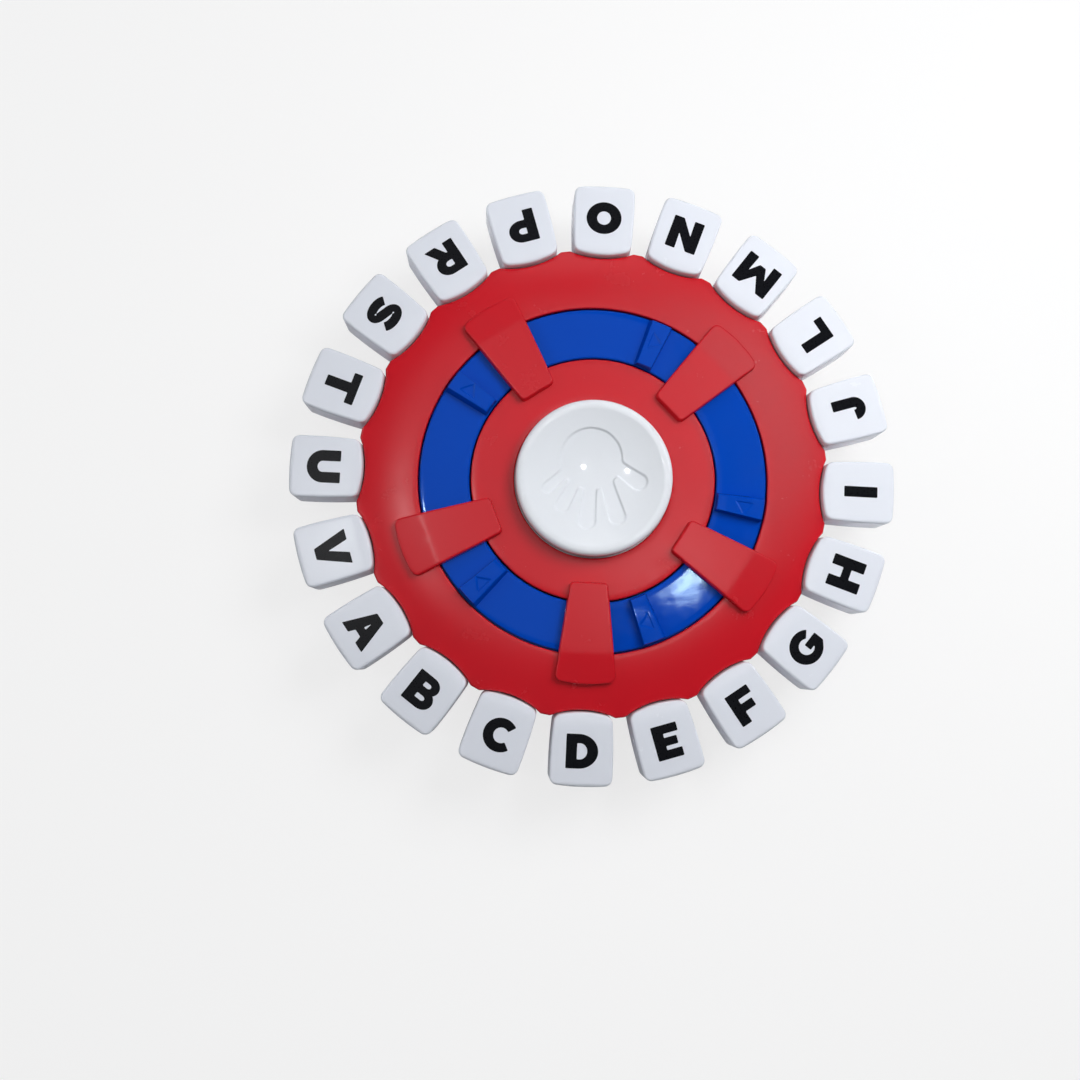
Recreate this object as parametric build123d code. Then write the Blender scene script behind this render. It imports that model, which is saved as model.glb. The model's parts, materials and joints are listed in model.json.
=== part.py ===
from build123d import *
import math
import os

# An electronic letter wheel: twenty hinged letter keys round a red housing, a blue reset ring that turns under
# five bridging arms, and a large centre button. Millimetres, +Z up, origin on the table under the wheel's axis.
# Bearings are degrees anticlockwise from +X, seen from above.

# Plan of the wheel, from the centre outwards
BUTTON_R = 29.9
DISC_WIDTH = 17.7  # from the button's edge to the ring's inner edge
RING_WIDTH = 19.2
RIM_WIDTH = 21.6  # from the ring's outer edge to the keys
KEY_LENGTH = 28.6
LOBE_PROUD = 2.9  # how far the housing's lobes reach out between the keys
SKIRT_SETBACK = 2.1  # the skirt's outside lies this far inside the keys
PIVOT_SETBACK = 8.4  # the key hinge lies this far inside the keys' inner ends

# Heights, from the table upwards
FOOT_PROUD = 1.5
BASE_DEPTH = 17.5  # bottom housing, underside to rim
PLATE_LIFT = 1.6  # top of the chassis plate above the rim
PLATE_T = 2.0
DISC_RISE = 15.4  # top of the red disc above the chassis plate
EDGE_DROP = 4.5  # fall of the domed rim from the ring to the lobes
ARM_RISE = 3.4  # arms above the disc
ARM_FALL = 1.4  # the arm's outer end bends down by this much
KEY_HEIGHT = 15.0
WALL = 2.2  # moulded walls of both housings

# Clearances
BUTTON_GAP = 0.5
RING_GAP = 0.6
KEY_GAP = 0.6  # key to scalloped edge
PIN_CLEAR = 0.05  # radial, round the key's trunnions
SLIDE_CLEAR = 0.1  # radial, round the button's guide pins
SIDE_CLEAR = 0.4  # beside a key's neck
RUN_CLEAR = 0.2  # above and below moving pieces
SCREW_CLEAR = 0.05  # round a screw in its pilot hole

# Keys
KEY_LETTERS = "ABCDEFGHIJLMNOPRSTUV"
FIRST_KEY_BEARING = 216.0
KEY_INNER_WIDTH = 22.6
KEY_OUTER_WIDTH = 24.2
KEY_INNER_BOW = 1.7
KEY_OUTER_BOW = 0.9
KEY_SIDE_BOW = 0.4
KEY_CORNER = 3.4
KEY_DRAFT = 1.2  # degrees
KEY_WALL = 1.8
KEY_ROLL = 5.0  # length of the top's stretch that curves down towards the inner end
KEY_ROLL_DROP = 1.2
KEY_NOSE = 2.0  # radius at the outer end
KEY_EDGE = 0.9
KEY_TOP_FALL = 0.5  # the top slopes down outwards by this much
KEY_PRESS_ANGLE = 20.0
TRUNNION_R = 2.0
TRUNNION_PROUD = 2.4  # trunnion beside the neck
NECK_WIDTH = 15.0
NECK_DROP = 0.6
NECK_RISE = 2.0
TAIL_LENGTH = 8.5
TAIL_WIDTH = 8.0
TAIL_RISE = 1.5

# Arms that bridge the ring
ARM_BEARINGS = (46.0, 124.5, 203.0, 270.0, 329.5)
ARM_INNER_R = 39.5
ARM_OUTER_R = 78.5
ARM_INNER_WIDTH = 14.6
ARM_OUTER_WIDTH = 23.8
ARM_INNER_CORNER = 2.0
ARM_OUTER_CORNER = 4.0
ARM_EDGE = 0.7
ARM_END_BOW = 1.5
ARM_BEND_R = 66.0  # the arm's top is flat up to here
ARM_LIFT = 0.4  # underside of the arm above the disc's top, over the ring

# Scalloped edge
LOBE_TIP_WIDTH = 3.8
NOTCH_HALF_WIDTH = 9.6
LOBE_ROUND = 0.8

# Hinge wall under the rim
HINGE_WALL_HALF = 3.0
HINGE_SLOT_RISE = 8.4  # slot's top above the trunnion's axis
HUB_BOSS_R = 3.2
HUB_BOSS_INSET = 7.6  # hub bosses lie this far inside the ring
HUB_BOSS_COUNT = 5
HUB_BOSS_BEARING = 36.0
DISC_SKIRT_DEPTH = 7.0

# Reset ring
RING_SINK = 0.4  # the ring's top lies this far below the disc's
RING_WALL = 2.2
RING_SKIRT_DEPTH = 4.4
RING_SKIRT_T = 2.0
CAM_FLANGE_GAP = 5.0  # from the flange's edge to the key hinge
CAM_FLANGE_T = 2.0
CAM_CLEAR = 0.3  # above the key's tail
CAM_START = 7.2  # bearing of a cam's middle past its key
CAM_WIDTH = 7.4
CAM_RAMP = 3.7
CAM_DEPTH = 4.2  # radial
RING_TRAVEL = 7.0  # degrees
TAB_BEARING = 22.4  # past the arm
TAB_HALF_ANGLE = 4.15
TAB_RISE = 3.7
TAB_INSET = 0.35
TAB_EDGE = 0.7
TAB_DRAFT = 6.0
HOLD_RIB_T = 2.0

# Chassis plate
PLATE_HOLE_R = 10.0
PLATE_EDGE_GAP = 2.7  # from the plate's edge to the skirt's inside
RAIL_T = 2.0
RAIL_INSET = 3.8  # rails lie this far inside the ring's edges
CHASSIS_SCREW_COUNT = 10
CHASSIS_SCREW_INSET = 1.0  # inside the key hinge
CASE_SCREW_COUNT = 6
CASE_SCREW_OUTSET = 3.2  # outside the ring's outer edge
CASE_BOSS_R = 4.0
CASE_BOSS_DEPTH = 9.6

# Centre button
BUTTON_RISE = 7.5
BUTTON_WALL = 2.0
BUTTON_FLANGE = 2.2
BUTTON_FLANGE_T = 2.0
BUTTON_RIM = 2.1
BUTTON_DISH = 5.0
BUTTON_TRAVEL = 3.5
BUTTON_STEM_R = 3.6
HAND_DEPTH = 0.7
PALM_AT = (-1.2, 7.6)
PALM_RADII = (11.8, 11.6)
FINGERS = (  # start, end, and the radius at each, in plan
    ((5.0, -1.0), (9.4, -14.3), 2.4, 3.2),
    ((-1.1, -3.0), (-2.0, -16.5), 2.4, 3.25),
    ((-7.4, -2.5), (-11.6, -10.8), 2.0, 2.7),
    ((-10.9, 1.7), (-17.5, -4.6), 1.9, 2.1),
    ((9.5, 4.5), (17.2, -0.8), 2.5, 3.2),
)
GUIDE_INSET = 5.9  # guides lie this far inside the button's edge
GUIDE_COUNT = 3
GUIDE_BEARING = 75.0  # keeps the guide pins clear of the wires below the plate
GUIDE_PIN_R = 1.5
GUIDE_TUBE_R = 2.5
GUIDE_TUBE_RISE = 5.4
GUIDE_BOSS_R = 4.4
SPRING_R = 3.2  # to the wire's middle
SPRING_WIRE_R = 0.4
SPRING_TURNS = 5
SPRING_LENGTH = 12.0

# Ring return spring
RING_SPRING_R = 1.8
RING_SPRING_WIRE_R = 0.3
RING_SPRING_TURNS = 10
RING_SPRING_PITCH = 1.7
RING_PEG_BEARING = 15.0
PLATE_PEG_BEARING = 45.0
PEG_R = 1.4
PEG_EYE_R = 0.7
RING_SPRING_DROP = 5.4  # coil axis below the ring's underside

# Circuit board
BOARD_GAP = 1.5  # board above the chassis plate
BOARD_T = 1.6
BOARD_INSET = 4.0  # board edge inside the button's guides
BOARD_PAD_R = 2.4
BOARD_PAD_INSET = 3.0
BOARD_SCREW_BEARING = 30.0
TACT_SIZE = 6.0
TACT_HEIGHT = 3.5
TACT_PLUNGER_R = 1.7
TACT_PLUNGER_RISE = 1.0
CHIP_AT = (-9.5, 5.0)
CHIP_BALL_R = 4.0
CHIP_RISE = 1.6
CAPACITOR_AT = (9.0, -6.0)
CAPACITOR_R = 2.5
CAPACITOR_H = 6.5
RESISTOR_XS = (2.0, -5.5)
RESISTOR_Y = 8.0
RESISTOR_SIZE = (6.0, 2.0, 1.8)
CRYSTAL_AT = (-14.0, -7.0)
CRYSTAL_SIZE = (5.0, 2.0, 3.0)

# Screws
SCREW_HEAD_R = 2.4
SCREW_HEAD_H = 1.5
SCREW_R = 1.1
CASE_SCREW_LENGTH = 10.0
CHASSIS_SCREW_LENGTH = 8.0
SMALL_HEAD_R = 1.7
SMALL_HEAD_H = 1.0
SMALL_SCREW_R = 0.7
SMALL_SCREW_LENGTH = 4.0
RECESS_WIDTH = 0.5
SINK_DEPTH = 3.5  # case screws are sunk this far into the underside

# Bottom housing
BASE_DRAFT_IN = 3.2  # how much narrower the underside is than the rim
BASE_EDGE = 3.0
LIP_T = 1.6
LIP_H = 1.2
LIP_GAP = 0.4
FOOT_R = 6.0
FOOT_COUNT = 4
FOOT_BEARING = 45.0
FOOT_SEAT = 1.0
FOOT_OUTSET = 1.2  # outside the ring's outer edge

# Battery bay
CELL_R = 5.2
CELL_LENGTH = 44.5
CELL_NUB_R = 1.9
CELL_NUB = 1.0
CELL_PITCH = 11.0
CELL_COUNT = 3
CELL_LIFT = 0.3
BAY_LENGTH = 51.0
BAY_SIDE_GAP = 0.5
BAY_WALL = 2.4
BAY_CEILING = 1.4
CONTACT_T = 0.5
CONTACT_WIDTH = 8.0
CONTACT_HEIGHT = 8.0
CELL_SPRING_R = 2.7
CELL_SPRING_WIRE_R = 0.3
CELL_SPRING_TURNS = 3
DOOR_T = 2.0
DOOR_LAP = 1.0
DOOR_GAP = 0.3
DOOR_EAR = 12.0
DOOR_EAR_ROOF = 2.0
DOOR_TONGUE = 2.0
DOOR_TONGUE_WIDTH = 6.0
DOOR_TONGUE_T = 1.5
DOOR_BOSS_R = 3.2
DOOR_BOSS_H = 6.0

# Speaker
SPEAKER_Y = 52.0
SPEAKER_R = 18.0
SPEAKER_LIP = 2.5
SPEAKER_LIP_T = 1.5
SPEAKER_BASKET_H = 5.0
SPEAKER_METAL = 0.8
MAGNET_R = 9.0
MAGNET_H = 4.0
CONE_T = 0.5
CONE_THROAT_R = 4.5
CLAMP_T = 1.6
CLAMP_EAR = 5.5
GRILLE_HOLE_R = 1.0
GRILLE_PITCH = 4.6
GRILLE_RINGS = 3

# Power switch
SWITCH_Y = -52.0
SWITCH_LENGTH = 14.0
SWITCH_WIDTH = 7.0
SWITCH_HEIGHT = 4.5
SWITCH_EAR = 6.0
SWITCH_TRAVEL = 4.0
KNOB_LENGTH = 4.4
KNOB_WIDTH = 3.8
KNOB_RECESS = 0.4
SLIDER_PLATE_T = 0.8
SLIDER_STEM = 2.0
SLOT_CLEAR = 0.3

# Inner wires
LEAD_R = 0.6
LEAD_SPREAD = 2.5
LEAD_BEND = 3.0

# Worked out from the sizes above
KEY_COUNT = len(KEY_LETTERS)
KEY_PITCH = 360.0 / KEY_COUNT
RING_INNER_R = BUTTON_R + DISC_WIDTH
RING_OUTER_R = RING_INNER_R + RING_WIDTH
KEY_INNER_R = RING_OUTER_R + RIM_WIDTH
KEY_OUTER_R = KEY_INNER_R + KEY_LENGTH
SKIRT_R = KEY_INNER_R - SKIRT_SETBACK
LOBE_R = KEY_INNER_R + LOBE_PROUD
PIVOT_R = KEY_INNER_R - PIVOT_SETBACK
HOLE_R = BUTTON_R + BUTTON_GAP
DISC_R = RING_INNER_R - RING_GAP
RIM_INNER_R = RING_OUTER_R + RING_GAP
CAM_FLANGE_R = PIVOT_R - CAM_FLANGE_GAP
PLATE_R = SKIRT_R - WALL - PLATE_EDGE_GAP
GUIDE_R = BUTTON_R - GUIDE_INSET
BOARD_R = GUIDE_R - BOARD_INSET
HUB_R = RING_INNER_R - HUB_BOSS_INSET
CASE_SCREW_R = RING_OUTER_R + CASE_SCREW_OUTSET
RAIL_IN_R = RING_INNER_R + RAIL_INSET
RAIL_OUT_R = RING_OUTER_R - RAIL_INSET

BASE_Z = FOOT_PROUD
FLOOR_Z = BASE_Z + WALL
PARTING_Z = BASE_Z + BASE_DEPTH
PLATE_TOP_Z = PARTING_Z + PLATE_LIFT
PLATE_LOW_Z = PLATE_TOP_Z - PLATE_T
PIVOT_Z = PLATE_TOP_Z + TRUNNION_R + PIN_CLEAR
NECK_LOW_Z = PIVOT_Z - NECK_DROP
NECK_TOP_Z = PIVOT_Z + NECK_RISE
WINDOW_TOP_Z = NECK_TOP_Z + RUN_CLEAR
RIM_LOW_Z = WINDOW_TOP_Z + RUN_CLEAR
KEY_TOP_Z = NECK_LOW_Z + KEY_HEIGHT
DISC_TOP_Z = PLATE_TOP_Z + DISC_RISE
DISC_LOW_Z = DISC_TOP_Z - WALL
ARM_TOP_Z = DISC_TOP_Z + ARM_RISE
RING_TOP_Z = DISC_TOP_Z - RING_SINK
RING_LOW_Z = RING_TOP_Z - RING_WALL
RING_SKIRT_Z = RING_LOW_Z - RING_SKIRT_DEPTH
CAM_FLANGE_TOP_Z = RING_SKIRT_Z + CAM_FLANGE_T
TAIL_TOP_Z = PIVOT_Z + TAIL_RISE
BUTTON_TOP_Z = DISC_TOP_Z + BUTTON_RISE
BUTTON_FLANGE_Z = DISC_LOW_Z - BUTTON_FLANGE_T
SPRING_TOP_Z = PLATE_TOP_Z + SPRING_LENGTH
BOARD_LOW_Z = PLATE_TOP_Z + BOARD_GAP
BOARD_TOP_Z = BOARD_LOW_Z + BOARD_T
TACT_TOP_Z = BOARD_TOP_Z + TACT_HEIGHT + TACT_PLUNGER_RISE
CASE_BOSS_Z = PLATE_LOW_Z - CASE_BOSS_DEPTH
DOOR_TOP_Z = BASE_Z + DOOR_T
CELL_Z = DOOR_TOP_Z + CELL_LIFT + CELL_R
BAY_ROOF_Z = CELL_Z + CELL_R + CELL_LIFT
BAY_TOP_Z = BAY_ROOF_Z + BAY_CEILING
BAY_WIDTH = CELL_PITCH * (CELL_COUNT - 1) + 2 * (CELL_R + BAY_SIDE_GAP)
LEAD_Z = (BAY_TOP_Z + PLATE_LOW_Z) / 2
RIM_DOME_R = ((LOBE_R - RIM_INNER_R) ** 2 + EDGE_DROP**2) / (2 * EDGE_DROP)
CAM_LOW_Z = TAIL_TOP_Z + CAM_CLEAR
REACH = 2 * KEY_OUTER_R  # longer than anything it has to cut through

BOTTOM = (Align.CENTER, Align.CENTER, Align.MIN)
PARALLEL = 1e-9  # two headings closer than this are one
GAP_STEPS = 24  # points a turn where a coil's gap to itself is measured


def disc(radius, low, high, at=(0.0, 0.0)):
    return Pos(at[0], at[1], low) * Cylinder(radius, high - low, align=BOTTOM)


def pipe(outer, inner, low, high, at=(0.0, 0.0)):
    return disc(outer, low, high, at) - disc(inner, low, high, at)


def block(x, y, z):
    """A box between two ends along each axis."""
    size = [high - low for low, high in (x, y, z)]
    return Pos(x[0], y[0], z[0]) * Box(*size, align=(Align.MIN, Align.MIN, Align.MIN))


def turned(outline):
    """A body turned about the wheel's axis, from a closed line drawn as radius and height."""
    return revolve(Plane.XZ * make_face(outline), Axis.Z)


def spun(shape, bearing):
    return Rot(0, 0, bearing) * shape


def bearings(count, first=0.0):
    return [first + 360.0 * i / count for i in range(count)]


def polar(radius, bearing):
    angle = math.radians(bearing)
    return radius * math.cos(angle), radius * math.sin(angle)


def write(shape, name):
    """Writes one node: a list becomes a group of separate solids."""
    node = Compound(children=list(shape)) if isinstance(shape, list) else shape
    export_step(node, f"parts/{name}.step")


def dome_z(radius):
    """Height of the rim's domed top."""
    out = radius - RIM_INNER_R
    return DISC_TOP_Z - RIM_DOME_R + math.sqrt(RIM_DOME_R**2 - out**2)


def key_bearings():
    return [FIRST_KEY_BEARING + KEY_PITCH * i for i in range(KEY_COUNT)]


# Screws


def screw(at, seat_z, length, shank_r, head_r, head_h, down=False):
    """A pan head screw seated at seat_z, its shank pointing up, or down for a screw driven from above."""
    body = disc(shank_r, 0, length) + disc(head_r, -head_h, 0)
    body = fillet(body.edges().sort_by(Axis.Z)[0], head_h / 2)
    arm = head_r * 0.6
    slit = RECESS_WIDTH / 2
    deep = (-head_h, -head_h / 2)
    body -= block((-arm, arm), (-slit, slit), deep)
    body -= block((-slit, slit), (-arm, arm), deep)
    if down:
        body = Rot(180, 0, 0) * body
    return Pos(at[0], at[1], seat_z) * body


def large_screw(at, seat_z, length):
    return screw(at, seat_z, length, SCREW_R, SCREW_HEAD_R, SCREW_HEAD_H)


def small_screw(at, seat_z, down=True):
    return screw(at, seat_z, SMALL_SCREW_LENGTH, SMALL_SCREW_R, SMALL_HEAD_R, SMALL_HEAD_H, down)


# Wire springs


def unit(v):
    return v * (1.0 / v.length)


def biarc(p0, t0, p1, t1):
    """Two arcs that leave p0 along t0 and reach p1 along t1."""
    chord = p1 - p0
    both = t0 + t1
    spread = 2 * (1 - t0.dot(t1))
    reach = chord.dot(both)
    if spread < PARALLEL:
        step = chord.dot(chord) / (4 * chord.dot(t1))
    else:
        step = (math.sqrt(reach**2 + spread * chord.dot(chord)) - reach) / spread
    near = p0 + t0 * step
    far = p1 - t1 * step
    joint = (near + far) * 0.5
    return [TangentArc(p0, joint, tangent=t0), TangentArc(joint, p1, tangent=unit(far - near))]


def helix_point(radius, pitch, turn):
    angle = 2 * math.pi * turn
    return Vector(radius * math.cos(angle), radius * math.sin(angle), pitch * turn)


def helix_heading(radius, pitch, turn):
    angle = 2 * math.pi * turn
    climb = pitch / (2 * math.pi)
    return unit(Vector(-radius * math.sin(angle), radius * math.cos(angle), climb))


def coil(radius, wire_r, pitch, turns, lead=0.0, name=""):
    """A coil along +Z from z = 0, two biarcs a turn. A lead adds a straight end along the axis at both ends."""
    steps = [i / 2 for i in range(2 * turns + 1)]
    line = []
    for a, b in zip(steps, steps[1:]):
        ends = [(helix_point(radius, pitch, t), helix_heading(radius, pitch, t)) for t in (a, b)]
        line += biarc(ends[0][0], ends[0][1], ends[1][0], ends[1][1])
    start, heading = helix_point(radius, pitch, 0), helix_heading(radius, pitch, 0)
    if lead:
        up = Vector(0, 0, 1)
        bend = 2 * radius
        low_in, low_out = Vector(0, 0, -bend - lead), Vector(0, 0, -bend)
        top = helix_point(radius, pitch, turns)
        high_in = Vector(0, 0, top.Z + bend)
        high_out = Vector(0, 0, top.Z + bend + lead)
        line = [Line(low_in, low_out), *biarc(low_out, up, start, heading), *line]
        line += biarc(top, helix_heading(radius, pitch, turns), high_in, up)
        line += [Line(high_in, high_out)]
        start, heading = low_in, up
    section = Plane(origin=start, z_dir=heading) * Circle(wire_r)
    print(name, "coil: least gap to itself", round(own_gap(radius, wire_r, pitch, turns), 2), "mm")
    return sweep(section, path=Curve() + line)


def own_gap(radius, wire_r, pitch, turns):
    """Least distance between the wire's surface and itself, three quarters of a turn on or more."""
    points = [helix_point(radius, pitch, i / GAP_STEPS) for i in range(GAP_STEPS * turns + 1)]
    apart = 3 * GAP_STEPS // 4
    pairs = [(a, b) for i, a in enumerate(points) for b in points[i + apart :]]
    return min((a - b).length for a, b in pairs) - 2 * wire_r


# Red top housing


def arm():
    """A raised arm along +X, flat on top and bent down at its outer end."""
    inner, outer = ARM_INNER_WIDTH / 2, ARM_OUTER_WIDTH / 2
    shoulder = ARM_OUTER_R - ARM_END_BOW
    outline = make_face(
        [
            Line((ARM_INNER_R, inner), (shoulder, outer)),
            ThreePointArc((shoulder, outer), (ARM_OUTER_R, 0), (shoulder, -outer)),
            Line((shoulder, -outer), (ARM_INNER_R, -inner)),
            Line((ARM_INNER_R, -inner), (ARM_INNER_R, inner)),
        ]
    )
    outline = fillet(outline.vertices().sort_by(Axis.X)[-2:], ARM_OUTER_CORNER)
    outline = fillet(outline.vertices().sort_by(Axis.X)[:2], ARM_INNER_CORNER)
    foot_z = dome_z(ARM_OUTER_R) - WALL / 2
    body = Pos(0, 0, foot_z) * extrude(outline, ARM_TOP_Z - foot_z)
    bend = ThreePointArc(
        (ARM_BEND_R, ARM_TOP_Z),
        ((ARM_BEND_R + ARM_OUTER_R) / 2, ARM_TOP_Z - ARM_FALL / 4),
        (ARM_OUTER_R, ARM_TOP_Z - ARM_FALL),
    )
    over = ARM_TOP_Z + WALL
    above = make_face(
        [
            bend,
            Line((ARM_OUTER_R, ARM_TOP_Z - ARM_FALL), (ARM_OUTER_R + WALL, ARM_TOP_Z - ARM_FALL)),
            Line((ARM_OUTER_R + WALL, ARM_TOP_Z - ARM_FALL), (ARM_OUTER_R + WALL, over)),
            Line((ARM_OUTER_R + WALL, over), (ARM_BEND_R, over)),
            Line((ARM_BEND_R, over), (ARM_BEND_R, ARM_TOP_Z)),
        ]
    )
    body -= extrude(Plane.XZ * above, ARM_OUTER_WIDTH, both=True)
    tops = body.faces().filter_by(lambda f: f.center().Z > ARM_TOP_Z - ARM_FALL)
    border = tops.edges().filter_by(lambda e: abs(e.center().X - ARM_BEND_R) > ARM_EDGE)
    body = fillet(border, ARM_EDGE)
    channel = pipe(RIM_INNER_R, DISC_R, foot_z - WALL, DISC_TOP_Z + ARM_LIFT)
    return body - channel


def scallop_face():
    """The rim's outline: a circle notched round each key, with lobes between the notches."""
    key_arc_r = (NOTCH_HALF_WIDTH**2 + KEY_INNER_BOW**2) / (2 * KEY_INNER_BOW)
    deep = KEY_INNER_R - KEY_GAP
    side = deep + key_arc_r - math.sqrt(key_arc_r**2 - NOTCH_HALF_WIDTH**2)
    tip_angle = math.radians(KEY_PITCH / 2) - LOBE_TIP_WIDTH / (2 * LOBE_R)
    tip = (LOBE_R * math.cos(tip_angle), LOBE_R * math.sin(tip_angle))
    flank = (tip[0] - side, tip[1] - NOTCH_HALF_WIDTH)
    far = (tip[0] + flank[0], tip[1] + flank[1])
    notch = make_face(
        [
            ThreePointArc((side, NOTCH_HALF_WIDTH), (deep, 0), (side, -NOTCH_HALF_WIDTH)),
            Line((side, -NOTCH_HALF_WIDTH), (far[0], -far[1])),
            Line((far[0], -far[1]), far),
            Line(far, (side, NOTCH_HALF_WIDTH)),
        ]
    )
    face = Circle(LOBE_R) - [spun(notch, b) for b in key_bearings()]
    return fillet(face.vertices(), LOBE_ROUND)


def rim_shell():
    """The domed rim with its skirt, turned a little too wide and trimmed to the scalloped outline."""
    inside = SKIRT_R - WALL
    wide = LOBE_R + WALL
    under = (dome_z(inside) - WALL, DISC_LOW_Z)
    middle = (RIM_INNER_R + inside) / 2
    half = (RIM_INNER_R + wide) / 2
    outline = [
        ThreePointArc((RIM_INNER_R, DISC_TOP_Z), (half, dome_z(half)), (wide, dome_z(wide))),
        Polyline(
            (wide, dome_z(wide)),
            (wide, RIM_LOW_Z),
            (SKIRT_R, RIM_LOW_Z),
            (SKIRT_R, PARTING_Z),
            (inside, PARTING_Z),
            (inside, under[0]),
        ),
        ThreePointArc((inside, under[0]), (middle, dome_z(middle) - WALL), (RIM_INNER_R, under[1])),
        Line((RIM_INNER_R, under[1]), (RIM_INNER_R, DISC_TOP_Z)),
    ]
    prism = Pos(0, 0, PARTING_Z - WALL) * extrude(scallop_face(), DISC_RISE + WALL + PLATE_LIFT + WALL)
    return turned(outline) & prism


def key_cutters():
    """What each key needs cut out of the housing: a hinge slot, a trunnion seat open below, and a skirt window."""
    half_neck = NECK_WIDTH / 2 + SIDE_CLEAR
    half_pin = NECK_WIDTH / 2 + TRUNNION_PROUD + RUN_CLEAR
    seat_r = TRUNNION_R + PIN_CLEAR
    below = PARTING_Z - WALL
    wall_in = PIVOT_R - HINGE_WALL_HALF - WALL
    slot = block((wall_in, SKIRT_R - WALL), (-half_neck, half_neck), (below, PIVOT_Z + HINGE_SLOT_RISE))
    window = block((SKIRT_R - WALL - 1, SKIRT_R + 1), (-half_neck, half_neck), (below, WINDOW_TOP_Z))
    seat = Pos(PIVOT_R, 0, PIVOT_Z) * Rot(90, 0, 0) * Cylinder(seat_r, 2 * half_pin)
    mouth = block((PIVOT_R - seat_r, PIVOT_R + seat_r), (-half_pin, half_pin), (below, PIVOT_Z))
    return [slot, window, seat, mouth]


def top_housing():
    body = rim_shell()
    body += pipe(DISC_R, HOLE_R, DISC_LOW_Z, DISC_TOP_Z)
    body += pipe(DISC_R, DISC_R - WALL, DISC_TOP_Z - DISC_SKIRT_DEPTH, DISC_LOW_Z)
    arms = [spun(arm(), b) for b in ARM_BEARINGS]
    rib_r = CAM_FLANGE_R - HOLD_RIB_T
    body += pipe(rib_r, rib_r - HOLD_RIB_T, CAM_FLANGE_TOP_Z + RUN_CLEAR, DISC_LOW_Z + WALL / 4)
    wall_top = dome_z(PIVOT_R + HINGE_WALL_HALF) - WALL / 4
    body += pipe(PIVOT_R + HINGE_WALL_HALF, PIVOT_R - HINGE_WALL_HALF, PLATE_TOP_Z, wall_top)
    bosses = [disc(HUB_BOSS_R, PLATE_TOP_Z, DISC_LOW_Z, at) for at in hub_screw_spots()]
    body = body + arms + bosses
    cutters = [spun(c, b) for b in key_bearings() for c in key_cutters()]
    pilot_top = PLATE_TOP_Z + CHASSIS_SCREW_LENGTH
    pilots = [disc(SCREW_R + SCREW_CLEAR, PLATE_LOW_Z, pilot_top, at) for at in chassis_screw_spots()]
    pilots += [disc(SCREW_R + SCREW_CLEAR, PLATE_LOW_Z, pilot_top, at) for at in hub_screw_spots()]
    return body - (cutters + pilots)


def chassis_screw_spots():
    first = FIRST_KEY_BEARING + KEY_PITCH / 2
    return [polar(PIVOT_R - CHASSIS_SCREW_INSET, b) for b in bearings(CHASSIS_SCREW_COUNT, first)]


def hub_screw_spots():
    return [polar(HUB_R, b) for b in bearings(HUB_BOSS_COUNT, HUB_BOSS_BEARING)]


def case_screw_spots():
    return [polar(CASE_SCREW_R, b) for b in bearings(CASE_SCREW_COUNT)]


# Letter keys


def key_outline(inset=0.0):
    """Plan of a key's foot, along +X, bowed on all four sides and drawn in by an inset."""
    inner, outer = KEY_INNER_WIDTH / 2 - inset, KEY_OUTER_WIDTH / 2 - inset
    start, end = KEY_INNER_R + inset, KEY_OUTER_R - inset
    near, far = start + KEY_INNER_BOW, end - KEY_OUTER_BOW
    middle = ((near + far) / 2, (inner + outer) / 2 + KEY_SIDE_BOW)
    face = make_face(
        [
            ThreePointArc((near, inner), (start, 0), (near, -inner)),
            ThreePointArc((near, -inner), (middle[0], -middle[1]), (far, -outer)),
            ThreePointArc((far, -outer), (end, 0), (far, outer)),
            ThreePointArc((far, outer), middle, (near, inner)),
        ]
    )
    return fillet(face.vertices(), KEY_CORNER - inset / 2)


def key_profile():
    """Side view of a key, wider than its foot: curved down at the inner end, a small nose at the outer end."""
    low = NECK_LOW_Z - WALL
    roll_r = (KEY_ROLL**2 + KEY_ROLL_DROP**2) / (2 * KEY_ROLL_DROP)
    halfway = roll_r - math.sqrt(roll_r**2 - (KEY_ROLL / 2) ** 2)
    nose = KEY_NOSE * math.sqrt(0.5)
    front = KEY_TOP_Z - KEY_ROLL_DROP
    back = KEY_TOP_Z - KEY_TOP_FALL
    face = make_face(
        [
            ThreePointArc(
                (KEY_INNER_R, front),
                (KEY_INNER_R + KEY_ROLL / 2, KEY_TOP_Z - halfway),
                (KEY_INNER_R + KEY_ROLL, KEY_TOP_Z),
            ),
            Line((KEY_INNER_R + KEY_ROLL, KEY_TOP_Z), (KEY_OUTER_R - KEY_NOSE, back)),
            ThreePointArc(
                (KEY_OUTER_R - KEY_NOSE, back),
                (KEY_OUTER_R - KEY_NOSE + nose, back - KEY_NOSE + nose),
                (KEY_OUTER_R, back - KEY_NOSE),
            ),
            Polyline(
                (KEY_OUTER_R, back - KEY_NOSE),
                (KEY_OUTER_R + WALL, back - KEY_NOSE),
                (KEY_OUTER_R + WALL, low),
                (KEY_INNER_R - WALL, low),
                (KEY_INNER_R - WALL, front),
                (KEY_INNER_R, front),
            ),
        ]
    )
    return extrude(Plane.XZ * face, KEY_OUTER_WIDTH, both=True)


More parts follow.
